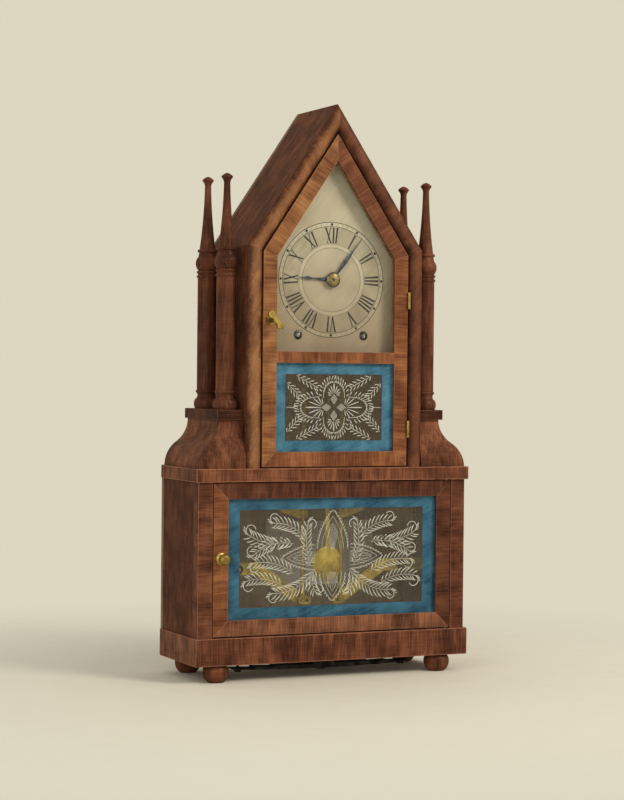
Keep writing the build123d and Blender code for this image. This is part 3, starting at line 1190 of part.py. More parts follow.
chain_start = ROD_TOP
chain_end = drum_z
chain_links = max(2, round((chain_end - chain_start) / CHAIN_PITCH))
chain_step = (chain_end - chain_start) / chain_links
chain_x = WINDING_OFFSET - DRUM_RADIUS - CHAIN_WIDTH / 2
rear_gap = CHAIN_PLATE / 2 + 0.1
chain = pin(ROD_OFFSET, ROD_TOP, CHAIN_PIN_RADIUS, ROD_DEPTH - rear_gap, ROD_DEPTH + rear_gap)
for number in range(chain_links):
    low = (ROD_OFFSET + (chain_x - ROD_OFFSET) * number / chain_links, chain_start + number * chain_step)
    share = (number + 1) / chain_links
    high = (ROD_OFFSET + (chain_x - ROD_OFFSET) * share, chain_start + (number + 1) * chain_step)
    offset = rear_gap if number % 2 == 0 else -rear_gap - CHAIN_PLATE
    piece = slab(bar(low, high, CHAIN_WIDTH), ROD_DEPTH + offset, ROD_DEPTH + offset + CHAIN_PLATE)
    piece += pin(*high, CHAIN_PIN_RADIUS, ROD_DEPTH - rear_gap - CHAIN_PLATE, ROD_DEPTH + rear_gap + CHAIN_PLATE)
    chain += piece

for name, shape in (("lever", lever), ("rod", rod), ("link", link)):
    save(f"time_{name}", shape)
    save(f"strike_{name}", mirror(shape, Plane.YZ))
save("drive_brackets", mirror(bracket, Plane.YZ), bracket, mirror(guide, Plane.YZ), guide)
save("drive_chains", mirror(chain, Plane.YZ), chain)

# Leaf spring: concentric bowed leaves under the floor, the longest lowest, bolted through a packing block
spring_leaves = []
curve_centre = (0, leaf_curve_z)
for leaf in range(SPRING_LEAVES):
    half = SPRING_HALF - leaf * SPRING_STEP
    outer = spring_radius - leaf * SPRING_LEAF
    inner = outer - SPRING_LEAF
    spread = math.degrees(math.asin(half / spring_radius))
    edges = [
        ThreePointArc(*[polar(curve_centre, inner, 270 + k * spread) for k in (-1, 0, 1)]),
        ThreePointArc(*[polar(curve_centre, outer, 270 + k * spread) for k in (-1, 0, 1)]),
    ]
    for k in (-1, 1):
        edges.append(
            Line(polar(curve_centre, inner, 270 + k * spread), polar(curve_centre, outer, 270 + k * spread))
        )
    shape = slab(make_face(edges), spring_near, spring_far)
    shape -= post(0, ROD_DEPTH, CLAMP_BOLT_RADIUS, 0, bottom_low)
    if leaf == 0:
        for side in (-1, 1):
            shape -= post(side * LINK_OFFSET, ROD_DEPTH, LINK_RADIUS + 0.8, 0, bottom_low)
    spring_leaves.append(shape)
save("wagon_spring", *spring_leaves)

stack_radius = spring_radius - SPRING_LEAVES * SPRING_LEAF
packing_low = leaf_curve_z - stack_radius
packing = block(-CLAMP_HALF, CLAMP_HALF, spring_near, spring_far, packing_low, bottom_low)
packing -= slab(
    Pos(*curve_centre) * (Circle(stack_radius + SPRING_LEAF) - Circle(stack_radius)), spring_near, spring_far
)
packing -= post(0, ROD_DEPTH, CLAMP_BOLT_RADIUS, SPRING_LOW, bottom_low)
bolt = post(0, ROD_DEPTH, CLAMP_BOLT_RADIUS, SPRING_LOW - CLAMP_HEAD_HEIGHT, bottom_high + CLAMP_HEAD_HEIGHT + 1.5)
bolt += post(0, ROD_DEPTH, CLAMP_HEAD_RADIUS, SPRING_LOW - CLAMP_HEAD_HEIGHT, SPRING_LOW)
nut_shape = extrude(RegularPolygon(CLAMP_HEAD_RADIUS, 6), amount=CLAMP_HEAD_HEIGHT)
bolt += Pos(0, at(ROD_DEPTH), bottom_high) * nut_shape
save("spring_clamp", packing, bolt)
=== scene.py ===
import math
import bmesh
import bpy
from mathutils import Euler, Matrix, Vector


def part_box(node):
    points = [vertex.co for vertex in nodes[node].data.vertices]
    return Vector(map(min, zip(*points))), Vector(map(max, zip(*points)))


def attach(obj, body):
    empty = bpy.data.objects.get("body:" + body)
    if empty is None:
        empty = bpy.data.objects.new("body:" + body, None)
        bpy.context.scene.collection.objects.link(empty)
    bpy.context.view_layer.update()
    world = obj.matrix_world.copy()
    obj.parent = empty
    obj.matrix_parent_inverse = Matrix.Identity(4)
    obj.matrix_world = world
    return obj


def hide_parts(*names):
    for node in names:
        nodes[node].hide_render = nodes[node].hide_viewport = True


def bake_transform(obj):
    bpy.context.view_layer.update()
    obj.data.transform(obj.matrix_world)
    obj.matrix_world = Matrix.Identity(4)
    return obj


# Looks of the steeple clock. Sizes are millimetres in the clock's own frame: X to the right, depth counted
# backwards from the cornice front, Z up from the floor. Meshes are written in metres.
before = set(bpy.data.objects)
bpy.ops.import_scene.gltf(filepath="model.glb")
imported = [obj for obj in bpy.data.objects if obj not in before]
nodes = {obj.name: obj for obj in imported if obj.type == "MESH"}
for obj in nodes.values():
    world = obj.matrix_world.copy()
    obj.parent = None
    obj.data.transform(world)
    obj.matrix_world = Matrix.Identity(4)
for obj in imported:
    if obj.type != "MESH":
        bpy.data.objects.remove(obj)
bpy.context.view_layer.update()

MM = 0.001
FRONT = -53.5

# Case
SKIRT_HALF = 171.5
UPPER_HALF = 110.5
EAVE = 492.5
PEAK = 657.5
MOULD_BULGE = 8.0
SLOPE = math.atan2(PEAK - EAVE, UPPER_HALF)
BACK_FACE = 114.0
BACK_THICK = 7.0
NAIL_HEAD = 0.5
CHAIN_PLAY = 0.1
CASE_DEPTH = BACK_FACE + BACK_THICK

# Doors
UPPER_DOOR_INSET = 19.3
UPPER_DOOR_LOW = 242.3
UPPER_FRAME = 17.0
UPPER_SIGHT_HALF = 74.2
UPPER_GLASS_NEAR = 7.2
UPPER_GLASS_BACK = 9.6
MID_RAIL = (360.5, 373.5)
RABBET = 5.0
LOWER_DOOR_HALF = 149.2
LOWER_DOOR_LOW = 52.3
LOWER_DOOR_HIGH = 224.7
LOWER_FRAME = 18.0
LOWER_GLASS_BACK = 9.1

# Dial
DIAL_Z = 456.5
DIAL_CENTRE = (0.0, DIAL_Z)
DIAL_FACE = 20.0
PAINT_THICK = 0.12
WINDING_OFFSET = 41.5
WINDING_Z = DIAL_Z - 63.7

# Painted borders and cut ornament on the tablets
UPPER_BORDER = (13.0, 12.6)
LOWER_BORDER = (15.6, 12.8)
BEHIND = 0.04
BORDER_THICK = 0.24
ORNAMENT_THICK = 0.2
UNDER_FRAME = 2.5
FILM_LAP = 1.5
FILM_GAP = 0.02
FILM_THICK = 0.04
FILM_STRAY = 0.4
FILM_STEPS = 12

# Pine beads that hold the panes from behind
BEAD_WIDTH = 4.5
BEAD_DEPTH = 3.5
BEAD_GAP = 0.3


def at(depth):
    return (FRONT + depth) * MM


def spot(x, depth, z):
    return Vector((x * MM, at(depth), z * MM))


def tone(red, green, blue):
    """Colour from 0 to 255 as seen on a screen, in the linear values that shaders take."""
    def linear(channel):
        share = channel / 255
        return share / 12.92 if share <= 0.04045 else ((share + 0.055) / 1.055) ** 2.4
    return (linear(red), linear(green), linear(blue), 1.0)


# Shader building
def feed(tree, socket, value):
    if isinstance(value, bpy.types.NodeSocket):
        tree.links.new(value, socket)
    else:
        socket.default_value = value


def put(tree, kind, inputs=None, **settings):
    node = tree.nodes.new(kind)
    for name, value in settings.items():
        setattr(node, name, value)
    for socket, value in (inputs or {}).items():
        feed(tree, node.inputs[socket], value)
    return node


def calc(tree, operation, first, second=0.0):
    return put(tree, "ShaderNodeMath", {0: first, 1: second}, operation=operation).outputs[0]


def add_share(tree, base, value, share):
    """A value's share added to another value."""
    return calc(tree, "ADD", base, calc(tree, "MULTIPLY", value, share))


def stretch(tree, coords, scale):
    return put(tree, "ShaderNodeVectorMath", {0: coords, 1: scale}, operation="MULTIPLY").outputs[0]


def shift(tree, coords, offset):
    return put(tree, "ShaderNodeVectorMath", {0: coords, 1: offset}, operation="ADD").outputs[0]


def noise(tree, coords, scale, detail=2.0, rough=0.5):
    inputs = {"Vector": coords, "Scale": scale, "Detail": detail, "Roughness": rough}
    return put(tree, "ShaderNodeTexNoise", inputs).outputs[0]


def spread(tree, value, low, high, to_low=0.0, to_high=1.0):
    """Value between two limits, spread over two others and held at their ends."""
    inputs = {"Value": value, "From Min": low, "From Max": high, "To Min": to_low, "To Max": to_high}
    return put(tree, "ShaderNodeMapRange", inputs, clamp=True).outputs[0]


def blend(tree, factor, first, second, way="MIX"):
    inputs = {0: factor, 6: first, 7: second}
    return put(tree, "ShaderNodeMix", inputs, data_type="RGBA", blend_type=way).outputs[2]


COLOUR = "NodeSocketColor"
VALUE = "NodeSocketFloat"
VECTOR = "NodeSocketVector"
SURFACE = {"Colour": COLOUR, "Roughness": VALUE, "Height": VALUE}


def effect(name, inputs, outputs):
    """Empty shader group with named inputs and outputs."""
    tree = bpy.data.node_groups.new(name, "ShaderNodeTree")
    for way, sockets in (("INPUT", inputs), ("OUTPUT", outputs)):
        for label, kind in sockets.items():
            tree.interface.new_socket(label, in_out=way, socket_type=kind)
    return tree, tree.nodes.new("NodeGroupInput").outputs, tree.nodes.new("NodeGroupOutput").inputs


def veneer_figure():
    """Mottled wood with fine stripes, fibres and pores; grain runs along the second coordinate."""
    inputs = {"Coords": VECTOR, "Pale": COLOUR, "Middle": COLOUR, "Dark": COLOUR}
    inputs.update({"Stripe": VALUE, "Hatch": VALUE})
    tree, given, result = effect("Veneer figure", inputs, SURFACE)
    coords = given["Coords"]
    sway = noise(tree, stretch(tree, coords, (14.0, 9.0, 14.0)), 1.0, 1.0)
    sway = calc(tree, "MULTIPLY", calc(tree, "SUBTRACT", sway, 0.5), 0.011)
    bent = shift(tree, coords, put(tree, "ShaderNodeCombineXYZ", {0: sway}).outputs[0])
    bands = noise(tree, stretch(tree, bent, (80.0, 13.0, 80.0)), given["Stripe"], 2.0, 0.55)
    streaks = noise(tree, stretch(tree, bent, (560.0, 26.0, 560.0)), given["Stripe"], 2.0, 0.5)
    hatch = noise(tree, stretch(tree, coords, (40.0, 620.0, 40.0)), 1.0, 1.0)
    fibres = noise(tree, stretch(tree, bent, (1900.0, 60.0, 1900.0)), 1.0, 1.0)
    clouds = noise(tree, stretch(tree, coords, (34.0, 26.0, 34.0)), 1.0, 2.0, 0.6)
    mixed = add_share(tree, calc(tree, "MULTIPLY", bands, 0.28), streaks, 0.32)
    mixed = add_share(tree, mixed, calc(tree, "SUBTRACT", hatch, 0.5), given["Hatch"])
    mixed = add_share(tree, mixed, clouds, 0.4)
    lower = blend(tree, spread(tree, mixed, 0.38, 0.5), given["Dark"], given["Middle"])
    colour = blend(tree, spread(tree, mixed, 0.5, 0.62), lower, given["Pale"])
    pores = spread(tree, fibres, 0.3, 0.42, 0.72, 1.0)
    colour = blend(tree, 1.0, colour, pores, "MULTIPLY")
    feed(tree, result["Colour"], colour)
    feed(tree, result["Roughness"], spread(tree, fibres, 0.3, 0.7, 0.56, 0.42))
    feed(tree, result["Height"], add_share(tree, fibres, streaks, 0.6))
    return tree


def edge_wear_and_highlight():
    """Paler tone along softened edges, partly polish worn thin and partly a painted highlight, broken up so
    that it isn't an even line.
    """
    inputs = {"Colour": COLOUR, "Edge": VALUE, "Coords": VECTOR, "Pale edge": COLOUR, "Amount": VALUE}
    tree, given, result = effect("Edge wear and highlight", inputs, {"Colour": COLOUR})
    patches = noise(tree, given["Coords"], 160.0, 2.0)
    mask = calc(tree, "MULTIPLY", spread(tree, patches, 0.24, 0.5), given["Edge"])
    mask = calc(tree, "MULTIPLY", mask, given["Amount"])
    feed(tree, result["Colour"], blend(tree, mask, given["Colour"], given["Pale edge"]))
    return tree


def painted_crown_light():
    """Rounded moulding: a painted highlight on the crown and a painted shade along the flanks, in place of
    the light on its round.
    """
    inputs = {"Colour": COLOUR, "Crown": VALUE, "Coords": VECTOR, "Flank shade": COLOUR, "Highlight": COLOUR}
    tree, given, result = effect("Painted crown light", inputs, {"Colour": COLOUR})
    broken = calc(tree, "SUBTRACT", noise(tree, given["Coords"], 70.0, 2.0), 0.5)
    crown = add_share(tree, given["Crown"], broken, 0.35)
    sides = blend(tree, spread(tree, crown, 0.1, 0.72, 0.85, 0.0), given["Colour"], given["Flank shade"])
    feed(tree, result["Colour"], blend(tree, spread(tree, crown, 0.72, 1.0, 0.0, 0.35), sides, given["Highlight"]))
    return tree


def aged_metal():
    """Metal with duller cloudy patches and fine rubbing marks."""
    inputs = {"Coords": VECTOR, "Bright": COLOUR, "Dull": COLOUR, "Gloss": VALUE, "Marks": VALUE}
    tree, given, result = effect("Aged metal", inputs, SURFACE)
    clouds = noise(tree, given["Coords"], 95.0, 3.0, 0.6)
    specks = noise(tree, given["Coords"], 900.0, 2.0)
    marks = noise(tree, stretch(tree, given["Coords"], (2600.0, 300.0, 220.0)), given["Marks"], 1.0)
    cover = spread(tree, add_share(tree, clouds, specks, 0.25), 0.5, 0.78)
    feed(tree, result["Colour"], blend(tree, cover, given["Bright"], given["Dull"]))
    rough = add_share(tree, given["Gloss"], cover, 0.22)
    feed(tree, result["Roughness"], add_share(tree, rough, marks, 0.1))
    feed(tree, result["Height"], add_share(tree, marks, specks, 0.5))
    return tree


def brushed_paint():
    """Hand-brushed paint: cloudy between a light and a deep tone, with strokes and fine grit."""
    inputs = {"Coords": VECTOR, "Light": COLOUR, "Deep": COLOUR}
    inputs.update({"Clouds": VALUE, "Strokes": VALUE, "Contrast": VALUE})
    tree, given, result = effect("Brushed paint", inputs, SURFACE)
    clouds = noise(tree, given["Coords"], given["Clouds"], 3.0, 0.55)
    strokes = noise(tree, stretch(tree, given["Coords"], (70.0, 300.0, 900.0)), given["Strokes"], 2.0)
    grit = noise(tree, given["Coords"], 2200.0, 1.0)
    mixed = add_share(tree, calc(tree, "MULTIPLY", clouds, 0.7), strokes, 0.3)
    share = calc(tree, "MULTIPLY", spread(tree, mixed, 0.36, 0.64), given["Contrast"])
    feed(tree, result["Colour"], blend(tree, share, given["Light"], given["Deep"]))
    feed(tree, result["Roughness"], spread(tree, grit, 0.3, 0.7, 0.5, 0.64))
    feed(tree, result["Height"], calc(tree, "ADD", grit, strokes))
    return tree


VENEER_FIGURE = veneer_figure()
EDGE_WEAR_AND_HIGHLIGHT = edge_wear_and_highlight()
PAINTED_CROWN_LIGHT = painted_crown_light()
AGED_METAL = aged_metal()
BRUSHED_PAINT = brushed_paint()


def use(tree, group, inputs):
    return put(tree, "ShaderNodeGroup", inputs, node_tree=group).outputs


def finish_coat(name):
    """New material with its Principled shader."""
    material = bpy.data.materials.new(name)
    material.use_nodes = True
    tree = material.node_tree
    return material, tree, tree.nodes["Principled BSDF"]


def bump(tree, shader, height, distance, strength=0.4):
    inputs = {"Height": height, "Distance": distance * MM, "Strength": strength}
    normal = put(tree, "ShaderNodeBump", inputs).outputs["Normal"]
    tree.links.new(normal, shader.inputs["Normal"])


def dress(tree, shader, colour, surface, depth, strength):
    """Feed a colour and an effect's roughness and height to a shader."""
    feed(tree, shader.inputs["Base Color"], colour)
    feed(tree, shader.inputs["Roughness"], surface["Roughness"])
    bump(tree, shader, surface["Height"], depth, strength)


def plain_values(shader, values):
    """Set what is the same all over the surface on the shader's own sockets."""
    for socket, value in values.items():
        shader.inputs[socket].default_value = value


def own_coords(tree):
    return put(tree, "ShaderNodeTexCoord").outputs["Object"]


def upright_grain(tree):
    """Coordinates of a turned or carved piece whose grain stands upright."""
    parts = put(tree, "ShaderNodeSeparateXYZ", {0: own_coords(tree)}).outputs
    return put(tree, "ShaderNodeCombineXYZ", {0: parts[0], 1: parts[2], 2: parts[1]}).outputs[0]


def painted_on(tree, name):
    return put(tree, "ShaderNodeAttribute", attribute_name=name).outputs


def worn_and_highlight_tone(colour, gain, lift):
    """Paler tone of a colour, for polish worn thin on edges and for painted highlights."""
    return tone(*[min(255, channel * gain + lift) for channel in colour])


def wood(name, pale, middle, dark, stripe=1.0, coat=0.0, edge_paling=0.35, hatch=0.1, upright=False, flank_shade=None):
    """Polished wood; the flank tone, where given, is a painted shade along the sides of a rounded moulding,
    whose crown gets a painted highlight.
    """
    material, tree, shader = finish_coat(name)
    coords = upright_grain(tree) if upright else painted_on(tree, "grain")["Vector"]
    tones = {
        "Coords": coords,
        "Pale": tone(*pale),
        "Middle": tone(*middle),
        "Dark": tone(*dark),
        "Stripe": stripe,
        "Hatch": hatch,
    }
    figure = use(tree, VENEER_FIGURE, tones)
    colour = figure["Colour"]
    if flank_shade:
        crown_light_inputs = {
            "Colour": colour,
            "Crown": painted_on(tree, "crown")["Fac"],
            "Coords": own_coords(tree),
            "Flank shade": tone(*flank_shade),
            "Highlight": worn_and_highlight_tone(pale, 1.16, 4),
        }
        colour = use(tree, PAINTED_CROWN_LIGHT, crown_light_inputs)["Colour"]
    elif not upright:
        # Paler softened edges: partly wear, partly a painted highlight.
        edge_wear_and_highlight_inputs = {
            "Colour": colour,
            "Edge": painted_on(tree, "softened")["Fac"],
            "Coords": own_coords(tree),
            "Pale edge": worn_and_highlight_tone(pale, 1.08, 24),
            "Amount": edge_paling,
        }
        colour = use(tree, EDGE_WEAR_AND_HIGHLIGHT, edge_wear_and_highlight_inputs)["Colour"]
    dress(tree, shader, colour, figure, 0.05, 0.25)
    plain_values(shader, {"Specular IOR Level": 0.03, "Coat Weight": coat, "Coat Roughness": 0.25})
    return material


def metal(name, bright, dull, gloss=0.24, marks=1.0, metallic=1.0):
    material, tree, shader = finish_coat(name)
    tones = {
        "Coords": own_coords(tree),
        "Bright": tone(*bright),
        "Dull": tone(*dull),
        "Gloss": gloss,
        "Marks": marks,
    }
    surface = use(tree, AGED_METAL, tones)
    dress(tree, shader, surface["Colour"], surface, 0.02, 0.2)
    plain_values(shader, {"Metallic": metallic})
    return material


# Painted shade on the dial paint: the tint that it darkens towards at the bottom, and the height over which
# it fades.
LOW_SHADE_TINT = (212, 200, 192)
SHADE_RUN = 122


def paint(name, light, deep, clouds=60.0, contrast=1.0, slant=0.0, strokes=1.0, shade_below=None, veil=None):
    """Brushed paint, its strokes turned by slant degrees.

    Below the height given before veil, in millimetres, the paint darkens towards the bottom: a painted shade
    that leaves the top lighter. veil gives the thinnest and thickest cover of a film that shows what is
    behind it.
    """
    material, tree, shader = finish_coat(name)
    coords = own_coords(tree)
    slanting = {"Vector": coords, "Angle": math.radians(slant)}
    tones = {
        "Coords": put(tree, "ShaderNodeVectorRotate", slanting, rotation_type="Y_AXIS").outputs[0],
        "Light": tone(*light),
        "Deep": tone(*deep),
        "Clouds": clouds,
        "Strokes": strokes,
        "Contrast": contrast,
    }
    surface = use(tree, BRUSHED_PAINT, tones)
    colour = surface["Colour"]
    # Painted shade: the paint darkens towards the bottom below the given height.
    if shade_below:
        height = put(tree, "ShaderNodeSeparateXYZ", {0: coords}).outputs[2]
        lit_share = spread(tree, height, (shade_below - SHADE_RUN) * MM, shade_below * MM)
        shade_tint = blend(tree, lit_share, tone(*LOW_SHADE_TINT), (1.0, 1.0, 1.0, 1.0))
        colour = blend(tree, 1.0, colour, shade_tint, "MULTIPLY")
    dress(tree, shader, colour, surface, 0.03, 0.3)
    plain_values(shader, {"Specular IOR Level": 0.1})
    if veil:
        cover = noise(tree, coords, 24.0, 3.0)
        tree.links.new(spread(tree, cover, 0.3, 0.7, *veil), shader.inputs["Alpha"])
    return material


GLASS_TINT = (0.95, 0.97, 0.96, 1.0)
GLASS_IOR = 1.18
GLASS_SHADE = (0.94, 0.95, 0.94, 1.0)


def old_glass(name):
    """Clear glass with a slow ripple; lamp light and scattered light pass it straight."""
    material, tree, shader = finish_coat(name)
    coords = own_coords(tree)
    plain_values(shader, {"Base Color": GLASS_TINT, "Transmission Weight": 1.0, "IOR": GLASS_IOR})
    smears = noise(tree, coords, 45.0, 2.0)
    tree.links.new(spread(tree, smears, 0.4, 0.7, 0.0, 0.03), shader.inputs["Roughness"])
    bump(tree, shader, noise(tree, coords, 22.0, 1.0), 0.4, 0.04)
    clear = put(tree, "ShaderNodeBsdfTransparent", {"Color": GLASS_SHADE})
    path = put(tree, "ShaderNodeLightPath").outputs
    straight = calc(tree, "MAXIMUM", path["Is Shadow Ray"], path["Is Diffuse Ray"])
    joined = put(tree, "ShaderNodeMixShader", {0: straight, 1: shader.outputs[0], 2: clear.outputs[0]})
    tree.links.new(joined.outputs[0], tree.nodes["Material Output"].inputs["Surface"])
    return material


# Finishes: tones from light to dark, then the other values in the order that the function names them
crotch_veneer = wood("crotch_veneer", (132, 82, 57), (99, 58, 40), (64, 36, 25), 1.2, 0.03, 0.7)
cornice_veneer = wood("cornice_veneer", (144, 90, 61), (108, 65, 44), (70, 40, 27), 1.2, 0.03, 0.7)
shaded_rail = wood("shaded_rail", (116, 71, 49), (86, 51, 36), (57, 32, 22), 1.2, 0.03)
lit_rail = wood("lit_rail", (154, 101, 72), (118, 76, 54), (78, 46, 32), 1.2, 0.03)
# The plinths take a darker wood, a painted shade for the shadow that the columns cast on them.
shaded_plinth_veneer = wood("shaded_plinth_veneer", (100, 60, 42), (72, 42, 29), (48, 27, 19), 1.2)
golden_veneer = wood("golden_veneer", (158, 102, 63), (126, 77, 48), (94, 53, 33), 1.2, 0.03)
gable_veneer = wood("gable_veneer", (172, 120, 75), (142, 93, 57), (104, 63, 40), 1.1, 0.03)
shaded_gable = wood("shaded_gable", (138, 87, 57), (110, 66, 44), (82, 46, 31), 1.1, 0.03)
# Rounded mouldings: the last tone is the painted shade along their flanks; their crowns get a painted
# highlight.
moulding_veneer = wood(
    "moulding_veneer", (156, 108, 68), (110, 70, 44), (66, 37, 24), 1.9, 0.1, flank_shade=(74, 38, 25)
)
shaded_moulding = wood(
    "shaded_moulding", (118, 72, 47), (84, 48, 32), (54, 29, 20), 1.9, 0.1, flank_shade=(58, 29, 20)
)
rake_veneer = wood("rake_veneer", (152, 103, 64), (106, 65, 41), (66, 36, 24), 1.9, 0.1, flank_shade=(72, 37, 25))
shaded_rake = wood("shaded_rake", (114, 70, 45), (78, 45, 30), (48, 26, 18), 1.9, 0.1, flank_shade=(52, 27, 19))
dark_board = wood("dark_board", (124, 73, 45), (94, 53, 32), (60, 32, 19), 1.8)
side_board = wood("side_board", (112, 66, 41), (86, 47, 28), (56, 30, 17), 2.2)
shoulder_wood = wood("shoulder_wood", (148, 93, 62), (110, 66, 44), (72, 41, 27), 0.9, upright=True)
turned_wood = wood("turned_wood", (124, 74, 49), (95, 55, 36), (64, 36, 24), 1.3, 0.08, upright=True)
bead_pine = wood("bead_pine", (168, 138, 98), (146, 114, 76), (112, 82, 52), 0.9, hatch=0.0, upright=True)
bare_pine = wood("bare_pine", (148, 125, 96), (131, 108, 82), (108, 86, 64), 0.7, hatch=0.0)
brass = metal("clock_brass", (182, 156, 86), (118, 97, 50), 0.32)
bob_brass = metal("bob_brass", (208, 181, 68), (174, 147, 47), 0.5, 1.0, 0.6)
lever_brass = metal("lever_brass", (200, 174, 66), (160, 136, 46), 0.5, 1.0, 0.6)
movement_brass = metal("movement_brass", (164, 142, 88), (108, 90, 56), 0.38)
drawn_steel = metal("drawn_steel", (150, 148, 142), (98, 94, 88), 0.34)
blued_steel = metal("blued_steel", (78, 80, 86), (46, 46, 50), 0.32)
black_iron = metal("black_iron", (62, 60, 58), (34, 32, 31), 0.5)
# The dial paints darken towards the bottom below 500 mm, a painted shade that leaves their top lighter.
dial_cream = paint("dial_cream", (209, 194, 163), (188, 171, 140), 26.0, 0.9, 48.0, 0.3, 500.0)
dial_pale = paint("dial_pale", (215, 201, 170), (197, 181, 151), 40.0, 0.9, 48.0, 0.3, 500.0)
dial_shaded = paint("dial_shaded", (198, 183, 152), (171, 156, 126), 40.0, 0.9, 48.0, 0.3, 500.0)
numeral_grey = paint("numeral_grey", (72, 69, 63), (46, 44, 41), 300.0, 0.8)
upper_blue = paint("upper_blue", (88, 140, 163), (40, 89, 112), 50.0, 1.0, 20.0, 0.5)
lower_blue = paint("lower_blue", (68, 117, 140), (26, 69, 91), 50.0, 1.0, 20.0, 0.5)
cut_white = paint("cut_white", (232, 226, 210), (206, 199, 182), 220.0, 0.8)
# Dark veil that stands as a painted shade over the view into the upper case.
painted_shade_film = paint("painted_shade_film", (112, 95, 77), (88, 73, 57), 24.0, 1.0, veil=(0.34, 0.5))
pale_film = paint("pale_film", (160, 143, 122), (132, 116, 97), 24.0, 1.0, veil=(0.08, 0.2))
label_paper = paint("label_paper", (216, 208, 192), (190, 182, 166), 30.0, 0.7)
clear_glass = old_glass("clear_glass")


# Mesh building
def settle(name, shape, materials, body, smooth_below=40.0, even=True):
    """Turn a bmesh into a piece that rides on a body, or on none yet."""
    bmesh.ops.recalc_face_normals(shape, faces=shape.faces)
    mesh = bpy.data.meshes.new(name)
    shape.to_mesh(mesh)
    shape.free()
    for material in materials:
        mesh.materials.append(material)
    mesh.polygons.foreach_set("use_smooth", [True] * len(mesh.polygons))
    mesh.set_sharp_from_angle(angle=math.radians(smooth_below))
    piece = bpy.data.objects.new(name, mesh)
    bpy.context.scene.collection.objects.link(piece)
    if even:
        piece.modifiers.new("even shading", "WEIGHTED_NORMAL").keep_sharp = True
    if body:
        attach(piece, body)
    return piece


def members(node, tell):
    """Faces of a CAD node, sorted by what tell says of a point just inside each face."""
    mesh = nodes[node].data
    found = {}
    for face in mesh.polygons:
        inside = face.center - face.normal * 0.1 * MM
        label = tell(inside.x / MM, inside.y / MM - FRONT, inside.z / MM)
        found.setdefault(label, []).append([mesh.vertices[i].co.copy() for i in face.vertices])
    return found


def joined_faces(faces):
    """One member with the points that its faces share merged."""
    shape = bmesh.new()
    points = {}
    for corners in faces:
        ring = []
        for corner in corners:
            key = tuple(round(value, 6) for value in corner)
            if key not in points:
                points[key] = shape.verts.new(corner)
            ring.append(points[key])
        if len(set(ring)) == len(ring) and shape.faces.get(ring) is None:
            shape.faces.new(ring)
    return shape


FLAT_WITHIN = math.radians(0.4)
SHARP_OVER = math.radians(35)
SHORTEST_EDGE = 4.0
MEMBER_STEP = Vector((0.31, 0.47, 0.23))


def softened_solid(faces, soften):
    """One member with its flat faces joined and its long edges rounded over."""
    shape = joined_faces(faces)
    grain = shape.verts.layers.float_vector.new("grain")
    crown = shape.verts.layers.float.new("crown")
    rounded = shape.faces.layers.float.new("softened")
    bmesh.ops.dissolve_limit(shape, angle_limit=FLAT_WITHIN, verts=shape.verts, edges=shape.edges)
    edges = []
    for edge in shape.edges:
        sharp = edge.is_manifold and edge.calc_face_angle() > SHARP_OVER
        if sharp and edge.calc_length() > SHORTEST_EDGE * MM:
            edges.append(edge)
    made = bmesh.ops.bevel(
        shape, geom=edges, offset=soften * MM, offset_type="OFFSET", segments=2, profile=0.6, affect="EDGES",
        clamp_overlap=True,
    )
    for face in made["faces"]:
        face[rounded] = 1.0
    # crown runs from 1 on the front to 0 a bulge's depth back; it places the painted highlight and painted
    # shade of the rounded mouldings.
    for point in shape.verts:
        point[crown] = max(0.0, 1.0 - (point.co.y / MM - FRONT) / MOULD_BULGE)
    return shape, grain


def lay_grain(shape, layer, along, number):
    """Write each point's place across, along and through the wood, moved on for each member."""
    along = Vector(along).normalized()
    across = Vector((0, 1, 0)).cross(along)
    if across.length < 0.1:
        across = Vector((1, 0, 0))
    across.normalize()
    through = along.cross(across)
    for point in shape.verts:
        place = Vector((point.co.dot(across), point.co.dot(along), point.co.dot(through)))
        point[layer] = place + MEMBER_STEP * number


def woodwork(node, body, plan, tell=None, soften=0.5):
    """Softened copy of a wooden CAD node; plan gives each member its grain and its finish."""
    whole = bmesh.new()
    finishes = []
    groups = members(node, tell or (lambda x, depth, z: "board"))
    for number, label in enumerate(sorted(groups, key=str)):
        along, finish = plan[label] if isinstance(plan, dict) else plan
        shape, grain = softened_solid(groups[label], soften)
        lay_grain(shape, grain, along, number + len(node))
        if finish not in finishes:
            finishes.append(finish)
        for face in shape.faces:
            face.material_index = finishes.index(finish)
        part = bpy.data.meshes.new("member")
        shape.to_mesh(part)
        shape.free()
        whole.from_mesh(part)
        bpy.data.meshes.remove(part)
    piece = settle(f"{node}_wood", whole, finishes, body)
    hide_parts(node)
    return piece


UP = (0, 0, 1)
RIGHT = (1, 0, 0)


def side_of(x, depth, z):
    return "left" if x < 0 else "right"


def skirt_member(x, depth, z):
    return "front" if abs(x) < SKIRT_HALF - depth else "side"


def rake_distance(x, z, half, eave, peak):
    """How far a point lies inside the sloping edge on its own side."""
    run = math.hypot(half, peak - eave)
    return ((half - abs(x)) * (peak - eave) - (z - eave) * half) / run


def gable_edges(inset):
    """Half width, eave and peak of the upper front, moved in evenly."""
    half = UPPER_HALF - inset
    eave = EAVE - inset * math.tan(math.pi / 4 - SLOPE / 2)
    peak = PEAK - inset / math.cos(SLOPE)
    return half, eave, peak


def upper_member(x, depth, z):
    within = UPPER_SIGHT_HALF if depth < UPPER_GLASS_NEAR else UPPER_SIGHT_HALF + RABBET
    if MID_RAIL[0] < z < MID_RAIL[1] and abs(x) < within:
        return "mid"
    half, eave, peak = gable_edges(UPPER_DOOR_INSET)
    side = side_of(x, depth, z)
    reach = {
        "low": z - UPPER_DOOR_LOW,
        f"stile_{side}": half - abs(x),
        f"rake_{side}": rake_distance(x, z, half, eave, peak),
    }
    return min(reach, key=reach.get)


